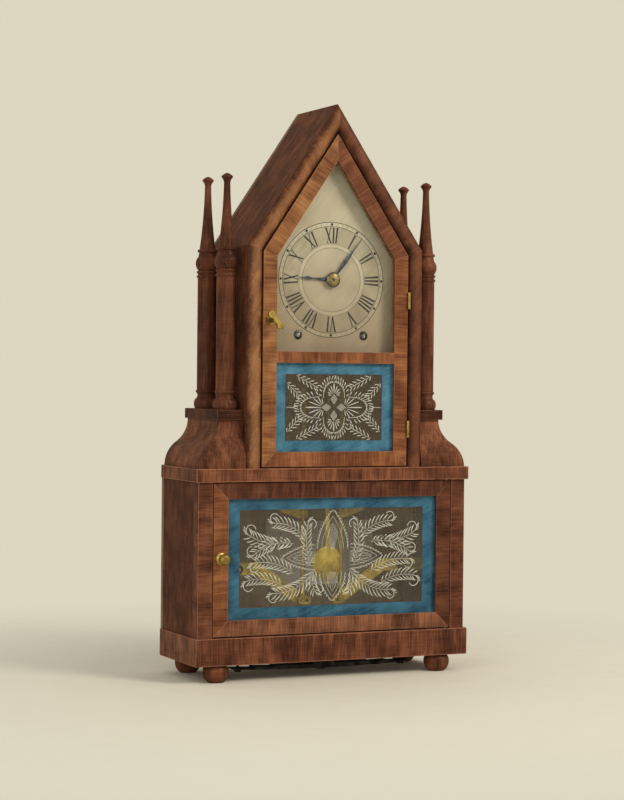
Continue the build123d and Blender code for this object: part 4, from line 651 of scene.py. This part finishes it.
def lower_member(x, depth, z):
    reach = {
        "rail_low": z - LOWER_DOOR_LOW,
        "rail_high": LOWER_DOOR_HIGH - z,
        "stile_left": LOWER_DOOR_HALF + x,
        "stile_right": LOWER_DOOR_HALF - x,
    }
    return min(reach, key=reach.get)


def slanted(degrees):
    """Direction in the front plane, counted from +X towards +Z."""
    turn = math.radians(degrees)
    return (math.cos(turn), 0, math.sin(turn))


# Case boards and mouldings
rise = math.degrees(SLOPE)
skirt_grain = {"front": (UP, crotch_veneer), "side": (UP, lit_rail)}
woodwork("skirt_boards", "case", skirt_grain, skirt_member, soften=0.9)
woodwork("front_stiles", "case", (RIGHT, crotch_veneer))
woodwork("cornice_board", "case", (UP, cornice_veneer), soften=0.8)
woodwork("shoulder_plinths", "case", (RIGHT, shaded_plinth_veneer), side_of, soften=0.8)
for board in ("lower_left_side", "lower_right_side"):
    woodwork(board, "case", (UP, side_board))
for board in ("upper_left_side", "upper_right_side"):
    woodwork(board, "case", (UP, dark_board))
woodwork("left_roof", "case", (slanted(rise), dark_board), soften=0.6)
woodwork("right_roof", "case", (slanted(180 - rise), dark_board), soften=0.6)
stile_grain = {"left": (slanted(62), moulding_veneer), "right": (slanted(62), shaded_moulding)}
woodwork("stile_mouldings", "case", stile_grain, side_of, soften=0.3)
rake_grain = {"left": (slanted(rise + 62), rake_veneer), "right": (slanted(rise - 8), shaded_rake)}
woodwork("rake_mouldings", "case", rake_grain, side_of, soften=0.3)
woodwork("bottom_board", "case", (RIGHT, bare_pine))
back = woodwork("back_board", "case", (UP, bare_pine))
for point in back.data.vertices:
    point.co.y = min(point.co.y, at(CASE_DEPTH - NAIL_HEAD))

# Door frames, cross-banded: the grain runs across each member
upper_plan = {
    "low": (UP, golden_veneer),
    "mid": (UP, golden_veneer),
    "stile_left": (RIGHT, gable_veneer),
    "stile_right": (RIGHT, golden_veneer),
    "rake_left": (slanted(rise + 90), gable_veneer),
    "rake_right": (slanted(90 - rise), shaded_gable),
}
woodwork("upper_door_frame", "upper_door", upper_plan, upper_member)
lower_plan = {
    "rail_low": (UP, lit_rail),
    "rail_high": (UP, shaded_rail),
    "stile_left": (RIGHT, golden_veneer),
    "stile_right": (RIGHT, shaded_rail),
}
woodwork("lower_door_frame", "lower_door", lower_plan, lower_member)


# Thin flat work: paint lines, numerals, borders and cut ornament
class FlatWork:
    """Flat shapes drawn in X and Z and gathered into one piece of even thickness."""

    def __init__(self, near, far):
        self.shape = bmesh.new()
        self.near = near
        self.far = far

    def prism(self, corners, lift=0.0):
        front = [self.shape.verts.new(spot(x, self.near - lift, z)) for x, z in corners]
        back = [self.shape.verts.new(spot(x, self.far, z)) for x, z in corners]
        self.shape.faces.new(front)
        self.shape.faces.new(back[::-1])
        for i in range(len(corners)):
            j = (i + 1) % len(corners)
            self.shape.faces.new((front[i], back[i], back[j], front[j]))

    def strip(self, path, half_width, closed=False):
        """Band along a path; half_width may be a number or one for each point."""
        count = len(path)
        widths = half_width if isinstance(half_width, list) else [half_width] * count
        rows = []
        for i, (x, z) in enumerate(path):
            before = path[i - 1] if closed or i > 0 else path[i]
            after = path[(i + 1) % count] if closed or i < count - 1 else path[i]
            run = math.hypot(after[0] - before[0], after[1] - before[1])
            nx, nz = -(after[1] - before[1]) / run, (after[0] - before[0]) / run
            row = []
            for side in (1, -1):
                px, pz = x + side * nx * widths[i], z + side * nz * widths[i]
                row.append([self.shape.verts.new(spot(px, depth, pz)) for depth in (self.near, self.far)])
            rows.append(row)
        for i in range(count if closed else count - 1):
            (a, b), (c, d) = rows[i], rows[(i + 1) % count]
            self.shape.faces.new((a[0], b[0], d[0], c[0]))
            self.shape.faces.new((a[1], c[1], d[1], b[1]))
            self.shape.faces.new((a[0], c[0], c[1], a[1]))
            self.shape.faces.new((b[0], b[1], d[1], d[0]))
        if not closed:
            for (a, b) in (rows[0], rows[-1]):
                self.shape.faces.new((a[0], a[1], b[1], b[0]))

    def done(self, name, material, body, slot):
        return settle(name, self.shape, [material], body, smooth_below=30.0, even=False)


def polar(centre, radius, degrees):
    """Point at a clock angle: 0 is up and angles grow clockwise."""
    turn = math.radians(degrees)
    return (centre[0] + radius * math.sin(turn), centre[1] + radius * math.cos(turn))


def circle(centre, radius, steps=160):
    return [polar(centre, radius, 360 * i / steps) for i in range(steps)]


# Dial: two pale bands, chapter ring, minute dashes, hour dots and roman numerals
OUTER_BAND = (61.4, 66.2)
INNER_BAND = (36.8, 41.4)
BAND_THICK = 0.06
RING_THICK = 0.05
RING_GAP = 0.05
DOT_RADIUS = 1.6
DOT_LIFT = 0.02
DASH_HALF = 1.1
DASH_HALF_WIDTH = 0.2


def ring_band(work, centre, inner, outer):
    work.strip(circle(centre, (inner + outer) / 2), (outer - inner) / 2, True)


pale_bands = FlatWork(DIAL_FACE - BAND_THICK, DIAL_FACE)
for band in (OUTER_BAND, INNER_BAND):
    ring_band(pale_bands, DIAL_CENTRE, *band)
pale_bands.done("dial_bands", dial_pale, "case", "dial_paint")
shaded_ring = FlatWork(DIAL_FACE - RING_THICK, DIAL_FACE)
ring_band(shaded_ring, DIAL_CENTRE, INNER_BAND[1] + RING_GAP, OUTER_BAND[0] - RING_GAP)
shaded_ring.done("numeral_ring", dial_shaded, "case", "dial_paint")

dial_lines = FlatWork(DIAL_FACE - PAINT_THICK, DIAL_FACE)
RING_LINES = {OUTER_BAND[1]: 0.75, OUTER_BAND[0]: 0.6, INNER_BAND[1]: 0.3, INNER_BAND[0]: 0.4}
for radius, width in RING_LINES.items():
    dial_lines.strip(circle(DIAL_CENTRE, radius), width / 2, True)
minute_circle = (OUTER_BAND[0] + OUTER_BAND[1]) / 2
for minute in range(60):
    angle = 6 * minute
    if minute % 5 == 0:
        dial_lines.prism(circle(polar(DIAL_CENTRE, minute_circle, angle), DOT_RADIUS, 16), DOT_LIFT)
    else:
        ends = (minute_circle - DASH_HALF, minute_circle + DASH_HALF)
        dial_lines.strip([polar(DIAL_CENTRE, radius, angle) for radius in ends], DASH_HALF_WIDTH)
dial_lines.done("chapter_ring_lines", numeral_grey, "case", "dial_paint")

NUMERALS = ("XII", "I", "II", "III", "IIII", "V", "VI", "VII", "VIII", "IX", "X", "XI")
LETTER_WIDTHS = {"I": 4.7, "V": 9.2, "X": 9.6}
THICK = 1.12
THIN = 0.58
SERIF = 0.5
SERIF_HALF = 1.9
LETTER_MARGIN = 1.7
FOOT_SQUEEZE = 0.28
STROKE_LIFT = 0.003
NUMERAL_LOW = 42.3
NUMERAL_HIGH = 60.0


def letter_shape(letter):
    """Strokes of a letter as foot, head and half width, and its serifs as place and end."""
    reach = LETTER_WIDTHS[letter] / 2 - LETTER_MARGIN
    if letter == "I":
        return [(0, 0, THICK)], [(0, 0), (0, 1)]
    if letter == "V":
        return [(0, -reach, THICK), (0, reach, THIN)], [(-reach, 1), (reach, 1)]
    return [(reach, -reach, THICK), (-reach, reach, THIN)], [(-reach, 0), (reach, 0), (-reach, 1), (reach, 1)]


def draw_numeral(work, text, angle):
    """One numeral, its head towards the rim and its letters side by side along the ring."""
    turn = math.radians(angle)
    across = (math.cos(turn), -math.sin(turn))
    outward = (math.sin(turn), math.cos(turn))
    height = NUMERAL_HIGH - NUMERAL_LOW

    def place(offset, share):
        radius = NUMERAL_LOW + share * height
        squeezed = offset * (1 - FOOT_SQUEEZE * (1 - share))
        return tuple(DIAL_CENTRE[k] + across[k] * squeezed + outward[k] * radius for k in (0, 1))

    cursor = -sum(LETTER_WIDTHS[letter] for letter in text) / 2
    lift = 0.0
    for letter in text:
        middle = cursor + LETTER_WIDTHS[letter] / 2
        strokes, serifs = letter_shape(letter)
        quads = []
        for foot, head, half in strokes:
            quads.append([(foot - half, 0), (foot + half, 0), (head + half, 1), (head - half, 1)])
        for offset, end in serifs:
            inside = abs(end - SERIF / height)
            left, right = offset - SERIF_HALF, offset + SERIF_HALF
            quads.append([(left, end), (right, end), (right, inside), (left, inside)])
        for quad in quads:
            work.prism([place(middle + offset, share) for offset, share in quad], lift)
            lift += STROKE_LIFT
        cursor += LETTER_WIDTHS[letter]


numeral_work = FlatWork(DIAL_FACE - PAINT_THICK, DIAL_FACE)
for hour, text in enumerate(NUMERALS):
    draw_numeral(numeral_work, text, 30 * hour)
numeral_work.done("hour_numerals", numeral_grey, "case", "dial_paint")


# Tablets: a painted border round a clear field, with leaves cut into the field
def frame_ring(name, outer, inner, near, far, material, body):
    """Flat ring between two outlines with the same number of corners."""
    shape = bmesh.new()
    rows = []
    for corner, inset in zip(outer, inner):
        rows.append([shape.verts.new(spot(x, depth, z)) for x, z in (corner, inset) for depth in (near, far)])
    for (a, b, c, d), (e, f, g, h) in zip(rows, rows[1:] + rows[:1]):
        for ring in ((a, c, g, e), (b, f, h, d), (a, e, f, b), (c, d, h, g)):
            shape.faces.new(ring)
    return settle(name, shape, [material], body, smooth_below=30.0, even=False)


def rectangle(half, low, high):
    return [(-half, low), (half, low), (half, high), (-half, high)]


def gable(inset, low):
    """Outline of the upper front, moved in evenly and cut off level below."""
    half, eave, peak = gable_edges(inset)
    return [(-half, low), (half, low), (half, eave), (0, peak), (-half, eave)]


def field_film(name, half, low, high, near, film_paint, body):
    """Thin clouded film behind the cut leaves, a little uneven along its rim."""
    film = FlatWork(near, near + FILM_THICK)
    rim = rectangle(half, low, high)
    corners = []
    for (x0, z0), (x1, z1) in zip(rim, rim[1:] + rim[:1]):
        for i in range(FILM_STEPS):
            share = i / FILM_STEPS
            stray = FILM_STRAY * math.sin(23 * share + x0 + z1)
            corners.append((x0 + (x1 - x0) * share + stray, z0 + (z1 - z0) * share + stray))
    film.prism(corners)
    film.done(name, film_paint, body, "dial_paint")


def bead(name, outer, inner, near, body):
    frame_ring(name, outer, inner, near, near + BEAD_DEPTH, bead_pine, body)


def tablet(name, body, half, low, high, border, back, blue, film):
    """Border, film and bead of a tablet; border is the blue's width at the sides and at top and bottom."""
    across, along = border
    field = (half - across, low + along, high - along)
    outer = rectangle(half + UNDER_FRAME, low - UNDER_FRAME, high + UNDER_FRAME)
    near, far = back + BEHIND, back + BORDER_THICK
    frame_ring(f"{name}_border", outer, rectangle(*field), near, far, blue, body)
    film_rim = (field[0] + FILM_LAP, field[1] - FILM_LAP, field[2] + FILM_LAP)
    field_film(f"{name}_film", *film_rim, far + FILM_GAP, film, body)
    outer = rectangle(half + BEAD_WIDTH, low - BEAD_WIDTH, high + BEAD_WIDTH)
    bead(f"{name}_bead", outer, rectangle(half, low, high), back + BEAD_GAP, body)


upper_low = UPPER_DOOR_LOW + UPPER_FRAME
upper_high = MID_RAIL[0]
lower_half = LOWER_DOOR_HALF - LOWER_FRAME
lower_low = LOWER_DOOR_LOW + LOWER_FRAME
lower_high = LOWER_DOOR_HIGH - LOWER_FRAME
# The upper tablet's dark film is a painted shade over the view into the case.
tablet(
    "upper_tablet", "upper_door", UPPER_SIGHT_HALF, upper_low, upper_high, UPPER_BORDER, UPPER_GLASS_BACK,
    upper_blue, painted_shade_film,
)
tablet(
    "lower_tablet", "lower_door", lower_half, lower_low, lower_high, LOWER_BORDER, LOWER_GLASS_BACK,
    lower_blue, pale_film,
)
sight_inset = UPPER_DOOR_INSET + UPPER_FRAME
outer = gable(sight_inset - BEAD_WIDTH, MID_RAIL[1] - BEAD_WIDTH)
inner = gable(sight_inset, MID_RAIL[1])
bead("dial_glass_bead", outer, inner, UPPER_GLASS_BACK + BEAD_GAP, "upper_door")


# Cut ornament
def point_along(path, share):
    """Place and heading at a share of a path's length, counted in points."""
    place = share * (len(path) - 1)
    k = min(int(place), len(path) - 2)
    part = place - k
    (x0, z0), (x1, z1) = path[k], path[k + 1]
    return (x0 + (x1 - x0) * part, z0 + (z1 - z0) * part), math.atan2(z1 - z0, x1 - x0)


def path_length(path):
    return sum(math.dist(a, b) for a, b in zip(path, path[1:]))


def off_axis(origin, direction, along, out=0.0):
    """Point along and out to the left of an axis that leaves origin in a direction."""
    dx, dz = math.cos(direction), math.sin(direction)
    return (origin[0] + dx * along - dz * out, origin[1] + dz * along + dx * out)


MIDDLE = (0.0, 0.0)


class Ornament(FlatWork):
    """Leaves and fine lines cut by hand, drawn about a centre."""

    def __init__(self, back, centre_z):
        super().__init__(back + BEHIND, back + ORNAMENT_THICK)
        self.centre_z = centre_z

    def local(self, path):
        return [(x, self.centre_z + z) for x, z in path]

    def stroke(self, path, width):
        """Line along a path; width may be a number or a first and a last one."""
        first, last = width if isinstance(width, tuple) else (width, width)
        count = len(path) - 1
        self.strip(self.local(path), [(first + (last - first) * i / count) / 2 for i in range(count + 1)])

    def leaf(self, foot, heading, length, width, bend=0.0):
        """Slim stroke, pointed at both ends, that may bend to one side."""
        sides = ([], [])
        for share, fullness in ((0.0, 0.2), (0.3, 0.65), (0.65, 1.0), (0.88, 0.7)):
            for side, edge in zip((1, -1), sides):
                out = bend * length * share * share + side * fullness * width / 2
                edge.append(off_axis(foot, heading, length * share, out))
        tip = off_axis(foot, heading, length, bend * length)
        self.prism(self.local(sides[0] + [tip] + sides[1][::-1]))

    def feather(
        self, path, length, spacing, width, lean, sides=(1, -1), start=0.03, end=0.98, away=0.0, bend=0.2
    ):
        """Strokes along a stem, leaning towards its tip, longest past the middle and staggered by side."""
        count = max(3, round(path_length(path) * (end - start) / spacing))
        for i in range(count + 1):
            for side in sides:
                share = min(end, start + (end - start) * (i + (0.4 if side < 0 else 0.0)) / count)
                place, heading = point_along(path, share)
                turn = heading + side * math.radians(lean)
                foot = off_axis(place, turn, away)
                grown = length * (0.4 + 0.6 * math.sin(math.pi * min(1.0, 0.12 + 0.76 * share)))
                self.leaf(foot, turn, grown, width, -side * bend)

    def fern(self, start, end, bend, curl, turn, length, spacing=5.3):
        """Feathered frond on a bent stem whose tip curls over in a fine loop."""
        straight = math.atan2(end[1] - start[1], end[0] - start[0])
        control = off_axis(start, straight, math.dist(start, end) / 2, bend)
        path = []
        for i in range(17):
            t = i / 16
            weights = ((1 - t) ** 2, 2 * t * (1 - t), t * t)
            path.append(tuple(sum(w * p[k] for w, p in zip(weights, (start, control, end))) for k in (0, 1)))
        self.feather(path, length, spacing, 1.15, 58.0, end=0.9, away=0.9, bend=0.34)
        heading = point_along(path, 1.0)[1]
        loop = [path[-1]]
        for i in range(11):
            heading += turn * math.radians(20)
            loop.append(off_axis(loop[-1], heading, curl * 0.35))
        self.feather(loop, length * 0.45, spacing * 0.8, 0.9, 50.0, (-turn,), 0.02, 0.25)
        self.stroke(path, (0.3, 0.5))
        self.stroke(loop, (0.8, 0.7))

    def arch(self, direction, base, tip, half, sharpness=0.8):
        """Pointed arch about a petal's axis, from one foot over the tip to the other."""
        path = []
        for i in range(25):
            swing = math.radians(-90 + 180 * i / 24)
            along = base + (tip - base) * max(0.0, math.cos(swing)) ** sharpness
            path.append(off_axis(MIDDLE, direction, along, half * math.sin(swing)))
        return path

    def palmette(self, direction, base, tip, half, spike, reach):
        """Petal of the rosette: feathered arch, inner arches, fan of strokes and a hatched lozenge."""
        crest = self.arch(direction, base, tip, half)
        count = round(path_length(crest) / 3.4)
        for i in range(count + 1):
            share = i / count
            place, heading = point_along(crest, share)
            lean = 58 if share < 0.5 else 122
            grown = reach * (0.75 + 0.25 * math.sin(math.pi * share))
            self.leaf(place, heading - math.radians(lean), grown, 1.05)
        inner = self.arch(direction, base - 2, tip - 3.0, half * 0.86)
        self.stroke(inner, 0.5)
        self.feather(inner[2:12], 3.2, 2.8, 0.9, 60.0, (-1,), 0.05, 0.95)
        self.feather(inner[-3:-13:-1], 3.2, 2.8, 0.9, 60.0, (1,), 0.05, 0.95)
        for k in range(-4, 5):
            fan = direction + math.radians(20 * k)
            foot = off_axis(off_axis(MIDDLE, direction, 13), fan, 3.4)
            self.leaf(foot, fan, spike * (1.0 - 0.16 * abs(k)), 1.4 if k == 0 else 0.95, -0.012 * k)
        self.lozenge(off_axis(MIDDLE, direction, 9.5), direction, 5.6, 4.0)

    def lozenge(self, middle, direction, half_length, half_width):
        """Lozenge of crossed fine lines."""
        lines = 4
        for i in range(lines + 1):
            share = i / lines
            for side in (1, -1):
                first = (-half_length + half_length * share, side * half_width * share)
                last = (half_length * share, side * half_width * (share - 1))
                self.stroke([off_axis(middle, direction, *end) for end in (first, last)], 0.36)

    def lancet(self, direction, base, tip, half, reach):
        """Pointed petal: nested fine outlines, strokes along the outer one and a fan of hair lines."""
        for side in (1, -1):
            for inset, width in ((1.0, 0.45), (0.72, 0.35), (0.44, 0.3)):
                path = []
                for i in range(17):
                    share = i / 16
                    along = base + (tip - base) * (1 - (1 - inset) * 0.6) * share
                    out = side * half * inset * math.cos(math.pi / 2 * share) ** 0.85
                    path.append(off_axis(MIDDLE, direction, along, out))
                self.stroke(path, width)
                if inset == 1.0:
                    self.feather(path, reach, 3.6, 0.9, 55.0, (side,), 0.04, 0.93)
        for k in range(-3, 4):
            fan = direction + math.radians(4.0 * k)
            far = base + (tip - base) * (0.62 - 0.05 * abs(k))
            self.stroke([off_axis(MIDDLE, fan, along) for along in (base, far)], 0.28)


# Upper tablet: four palmettes about the middle and two sprigs in each corner
upper_cut = Ornament(UPPER_GLASS_BACK, (upper_low + upper_high) / 2)
for degrees in (0, 180):
    direction = math.radians(degrees)
    upper_cut.palmette(direction, base=20.0, tip=44.5, half=14.0, spike=20.0, reach=7.0)
    upper_cut.stroke([off_axis(MIDDLE, direction, along) for along in (50.0, 60.0)], (0.8, 0.3))
for degrees in (90, 270):
    upper_cut.palmette(math.radians(degrees), base=13.0, tip=32.0, half=15.5, spike=11.5, reach=5.4)
CORNER_SPRIGS = (((-47.0, 36.0), (-20.0, 22.5)), ((-59.0, 28.0), (-43.0, 12.5)))
for start, end in CORNER_SPRIGS:
    for sx in (1, -1):
        for sz in (1, -1):
            sprig = []
            for i in range(9):
                sprig.append(tuple(s * (a + (b - a) * i / 8) for s, a, b in zip((sx, sz), start, end)))
            upper_cut.stroke(sprig, (0.35, 0.5))
            upper_cut.feather(sprig, 7.4, 5.0, 0.95, 50.0, start=0.0, end=0.9, away=0.6)
upper_cut.done("upper_tablet_leaves", cut_white, "upper_door", "dial_paint")

# Lower tablet: lancet petals and curling fronds, the left half mirrored to the right
lower_cut = Ornament(LOWER_GLASS_BACK, (lower_low + lower_high) / 2)
lower_cut.lancet(math.radians(90), base=9.0, tip=54.0, half=19.0, reach=2.8)
lower_cut.lancet(math.radians(270), base=18.0, tip=51.0, half=16.0, reach=2.8)
for degrees in (0, 180):
    lower_cut.lancet(math.radians(degrees), base=22.0, tip=64.0, half=14.0, reach=2.4)

# Fronds of the left half: foot, tip, bend, size of the curl, which way it turns and length of the leaves
FRONDS = (
    ((-53, 19), (-106, 28), 12, 6.0, -1, 12.4),
    ((-33, 20), (-74, 40), -11, 5.4, -1, 11.2),
    ((-27, -10), (-31, 40), 8, 5.2, -1, 9.4),
    ((-49, 16), (-99, 4), -11, 5.2, -1, 11.2),
    ((-49, -18), (-99, -5), -11, 5.2, 1, 11.2),
    ((-62, -32), (-107, -25), -10, 6.0, 1, 10.4),
    ((-24, -17), (-75, -40), 14, 5.2, 1, 12.6),
    ((-22, -14), (-21, -40), -8, 5.2, 1, 9.8),
)
for start, end, bend, curl, turn, length in FRONDS:
    for side in (1, -1):
        foot = (side * start[0], start[1])
        tip = (side * end[0], end[1])
        lower_cut.fern(foot, tip, side * bend, curl, side * turn, length)
lower_cut.done("lower_tablet_leaves", cut_white, "lower_door", "dial_paint")


# Paper label on the back board, a little cockled
LABEL = (-38.0, 102.0, 96.0, 172.0)
LABEL_THICK = 0.15
LABEL_GAP = 0.05
COCKLE = 0.35


def cockled_label(name, left, right, low, high, material):
    columns, rows = 22, 24
    shape = bmesh.new()
    sheets = []
    for lift in (0.0, LABEL_THICK):
        grid = []
        for i in range(columns + 1):
            line = []
            for j in range(rows + 1):
                u, v = i / columns, j / rows
                rim = 16 * u * (1 - u) * v * (1 - v)
                wave = COCKLE * rim * (1 + math.sin(9 * u + 4 * v) * math.cos(5 * v - 3 * u))
                depth = BACK_FACE - LABEL_GAP - wave - lift
                line.append(shape.verts.new(spot(left + (right - left) * u, depth, low + (high - low) * v)))
            grid.append(line)
        sheets.append(grid)
    for grid in sheets:
        for i in range(columns):
            for j in range(rows):
                shape.faces.new((grid[i][j], grid[i + 1][j], grid[i + 1][j + 1], grid[i][j + 1]))
    back, front = sheets
    rim_path = [(i, 0) for i in range(columns)] + [(columns, j) for j in range(rows)]
    rim_path += [(i, rows) for i in range(columns, 0, -1)] + [(0, j) for j in range(rows, 0, -1)]
    for (i, j), (k, l) in zip(rim_path, rim_path[1:] + rim_path[:1]):
        shape.faces.new((back[i][j], back[k][l], front[k][l], front[i][j]))
    return settle(name, shape, [material], "case", smooth_below=60.0, even=False)


cockled_label("paper_label", *LABEL, label_paper)


# Small turned fittings
def turned_piece(shape, centre, profile, closed=False, steps=40):
    """Solid turned about an axis from front to back; profile holds radius and depth, closed leaves a hole."""
    rings = []
    for radius, depth in profile:
        points = circle(centre, radius, steps) if radius else [centre]
        rings.append([shape.verts.new(spot(x, depth, z)) for x, z in points])
    for first, second in zip(rings, rings[1:] + (rings[:1] if closed else [])):
        for i in range(steps):
            j = (i + 1) % steps
            near = [first[i % len(first)], first[j % len(first)]]
            far = [second[j % len(second)], second[i % len(second)]]
            shape.faces.new(list(dict.fromkeys(near + far)))


# Grey collars round the winding holes and squared arbor ends in them
COLLAR = ((3.1, 0.4), (3.1, -0.5), (3.7, -1.0), (4.7, -0.8), (5.4, -0.1), (5.4, 0.4))
SQUARE_END = ((0, -0.85), (2.1, -0.85), (2.9, -0.35), (2.9, 1.4), (0, 1.4))


def from_face(profile, depth):
    """Profile whose depths are counted from a face."""
    return [(radius, depth + step) for radius, step in profile]


collars = bmesh.new()
for side, body in ((-1, "strike_drum"), (1, "time_drum")):
    middle = (side * WINDING_OFFSET, WINDING_Z)
    turned_piece(collars, middle, from_face(COLLAR, DIAL_FACE), closed=True)
    square = bmesh.new()
    turned_piece(square, middle, from_face(SQUARE_END, DIAL_FACE), steps=4)
    settle(f"{body}_square", square, [drawn_steel], body, smooth_below=20.0, even=False)
settle("winding_collars", collars, [blued_steel], "case")

# Dark pin in the middle of the hand nut and a dark washer round its foot
NUT_PIN = ((0, -0.3), (1.3, -0.25), (1.8, 0.0), (1.8, 1.5), (0, 1.5))
WASHER = ((0.05, -0.1), (0.05, -0.6), (0.9, -0.5), (1.2, -0.1))
nut_low, nut_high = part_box("hand_nut")
nut_radius = (nut_high.x - nut_low.x) / 2 / MM
hand_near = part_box("minute_hand")[0].y / MM - FRONT
nut_pin = bmesh.new()
turned_piece(nut_pin, DIAL_CENTRE, from_face(NUT_PIN, nut_low.y / MM - FRONT))
settle("hand_nut_pin", nut_pin, [blued_steel], "center")
washer = bmesh.new()
rim = [(nut_radius + step, depth) for step, depth in from_face(WASHER, hand_near)]
turned_piece(washer, DIAL_CENTRE, rim, closed=True)
settle("hand_washer", washer, [blued_steel], "center")

# Nail heads along the back board: heights by their distance from the middle
NAIL_ROWS = {158: (60, 105, 150, 195), 103: (262, 330, 400, 470), 55: (566,), 50: (233,)}
NAIL = ((0, -0.02), (1.6, -0.12), (2.6, -0.4), (2.6, -0.9), (0, -0.9))
nails = bmesh.new()
for x, heights in NAIL_ROWS.items():
    for side in (-1, 1):
        for z in heights:
            turned_piece(nails, (side * x, z), from_face(NAIL, CASE_DEPTH), steps=20)
settle("back_nails", nails, [black_iron], "case")

# Drive chains, split into one piece for each side and moved in by their play
chain_sides = members("drive_chains", side_of)
for side, body, inward in (("left", "strike_rod", 1), ("right", "time_rod", -1)):
    shape = joined_faces(chain_sides[side])
    bmesh.ops.translate(shape, verts=shape.verts, vec=(inward * CHAIN_PLAY * MM, 0, 0))
    links = settle(f"{body}_chain", shape, [drawn_steel], None, even=False)
    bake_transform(links)
    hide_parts("drive_chains")

# Finishes of the CAD nodes that stay as they are
NODE_FINISHES = {
    shoulder_wood: ["left_shoulder", "right_shoulder"],
    turned_wood: [
        "bun_feet", "front_left_column", "front_right_column", "rear_left_column", "rear_right_column",
    ],
    brass: ["case_hinges", "hinge_door_leaves", "upper_latch", "lower_latch"],
    bob_brass: ["pendulum_bob", "pendulum_rod"],
    lever_brass: ["time_lever", "strike_lever", "time_rod", "strike_rod", "drive_brackets"],
    movement_brass: [
        "front_plate", "back_plate", "center_wheel", "second_wheel", "great_wheel", "third_wheel",
        "escape_wheel", "minute_wheel", "hour_wheel", "time_drum", "strike_drum", "hand_nut",
    ],
    drawn_steel: ["verge", "hammer", "wire_gong"],
    blued_steel: ["minute_hand", "hour_hand"],
    black_iron: ["wagon_spring", "spring_clamp", "time_link", "strike_link"],
    dial_cream: ["dial_plate"],
    clear_glass: ["dial_glass", "upper_tablet", "lower_tablet"],
}
for finish, names in NODE_FINISHES.items():
    for name in names:
        if not nodes[name].material_slots:
            nodes[name].data.materials.append(finish)
        for material_slot in nodes[name].material_slots:
            material_slot.material = finish

# Floor, light and camera
BACKGROUND = tone(221, 214, 193)
SKY_TINT = (1.0, 0.98, 0.94, 1.0)
SKY_STRENGTH = 0.55
FLOOR_RADIUS = 2.2
FLOOR_FADE = (0.24, 0.8)
FLOOR_TONES = (tone(238, 231, 209), tone(230, 223, 201))


def pale_floor():
    """Round pale floor that fades out into the background."""
    shape = bmesh.new()
    bmesh.ops.create_circle(shape, cap_ends=True, segments=96, radius=FLOOR_RADIUS)
    mesh = bpy.data.meshes.new("floor")
    shape.to_mesh(mesh)
    shape.free()
    floor = bpy.data.objects.new("floor", mesh)
    bpy.context.scene.collection.objects.link(floor)
    material, tree, shader = finish_coat("pale_floor")
    coords = own_coords(tree)
    away = put(tree, "ShaderNodeVectorMath", {0: coords}, operation="LENGTH").outputs["Value"]
    mottle = noise(tree, coords, 30.0, 3.0)
    tree.links.new(blend(tree, mottle, *FLOOR_TONES), shader.inputs["Base Color"])
    tree.links.new(spread(tree, away, *FLOOR_FADE, 1.0, 0.0), shader.inputs["Alpha"])
    plain_values(shader, {"Roughness": 0.9})
    mesh.materials.append(material)


def soft_world():
    world = bpy.data.worlds.new("studio")
    bpy.context.scene.world = world
    world.use_nodes = True
    tree = world.node_tree
    lit = tree.nodes["Background"]
    plain_values(lit, {"Color": SKY_TINT, "Strength": SKY_STRENGTH})
    seen = put(tree, "ShaderNodeBackground", {"Color": BACKGROUND, "Strength": 1.0})
    path = put(tree, "ShaderNodeLightPath").outputs
    shown = calc(tree, "MAXIMUM", path["Is Camera Ray"], path["Is Glossy Ray"])
    shown = calc(tree, "MAXIMUM", shown, path["Is Transmission Ray"])
    joined = put(tree, "ShaderNodeMixShader", {0: shown, 1: lit.outputs[0], 2: seen.outputs[0]})
    tree.links.new(joined.outputs[0], tree.nodes["World Output"].inputs["Surface"])


def lamp(name, place, aim, size, power, colour):
    light = bpy.data.lights.new(name, "AREA")
    light.shape = "DISK"
    light.size = size
    light.energy = power
    light.color = colour
    holder = bpy.data.objects.new(name, light)
    holder.location = place
    holder.rotation_euler = (Vector(aim) - Vector(place)).to_track_quat("-Z", "Y").to_euler()
    bpy.context.scene.collection.objects.link(holder)


pale_floor()
soft_world()
lamp("key", (1.15, -1.75, 1.55), aim=(0, 0, 0.33), size=0.9, power=30.0, colour=(1.0, 0.97, 0.92))
lamp("fill", (-1.6, -1.5, 0.9), aim=(0, 0, 0.3), size=1.4, power=9.0, colour=(0.96, 0.98, 1.0))

SENSOR_HEIGHT = 36.0
LENS = 96.3
CAMERA_DISTANCE = 2.4479
RAY_HEADING = 25.11
AXIS_HEADING = 24.43
CAMERA_HEIGHT = 0.3529
PITCH = -0.81
ROLL = 0.57
camera_data = bpy.data.cameras.new("camera")
camera_data.sensor_fit = "VERTICAL"
camera_data.sensor_height = SENSOR_HEIGHT
camera_data.lens = LENS
camera = bpy.data.objects.new("camera", camera_data)
heading = math.radians(RAY_HEADING)
camera.location = (
    -CAMERA_DISTANCE * math.sin(heading), FRONT * MM - CAMERA_DISTANCE * math.cos(heading), CAMERA_HEIGHT
)
level = Euler((math.radians(90 + PITCH), 0, -math.radians(AXIS_HEADING))).to_matrix()
camera.rotation_euler = (level @ Matrix.Rotation(math.radians(ROLL), 3, "Z")).to_euler()
bpy.context.scene.collection.objects.link(camera)
bpy.context.scene.camera = camera
bpy.context.scene.view_settings.view_transform = "Standard"
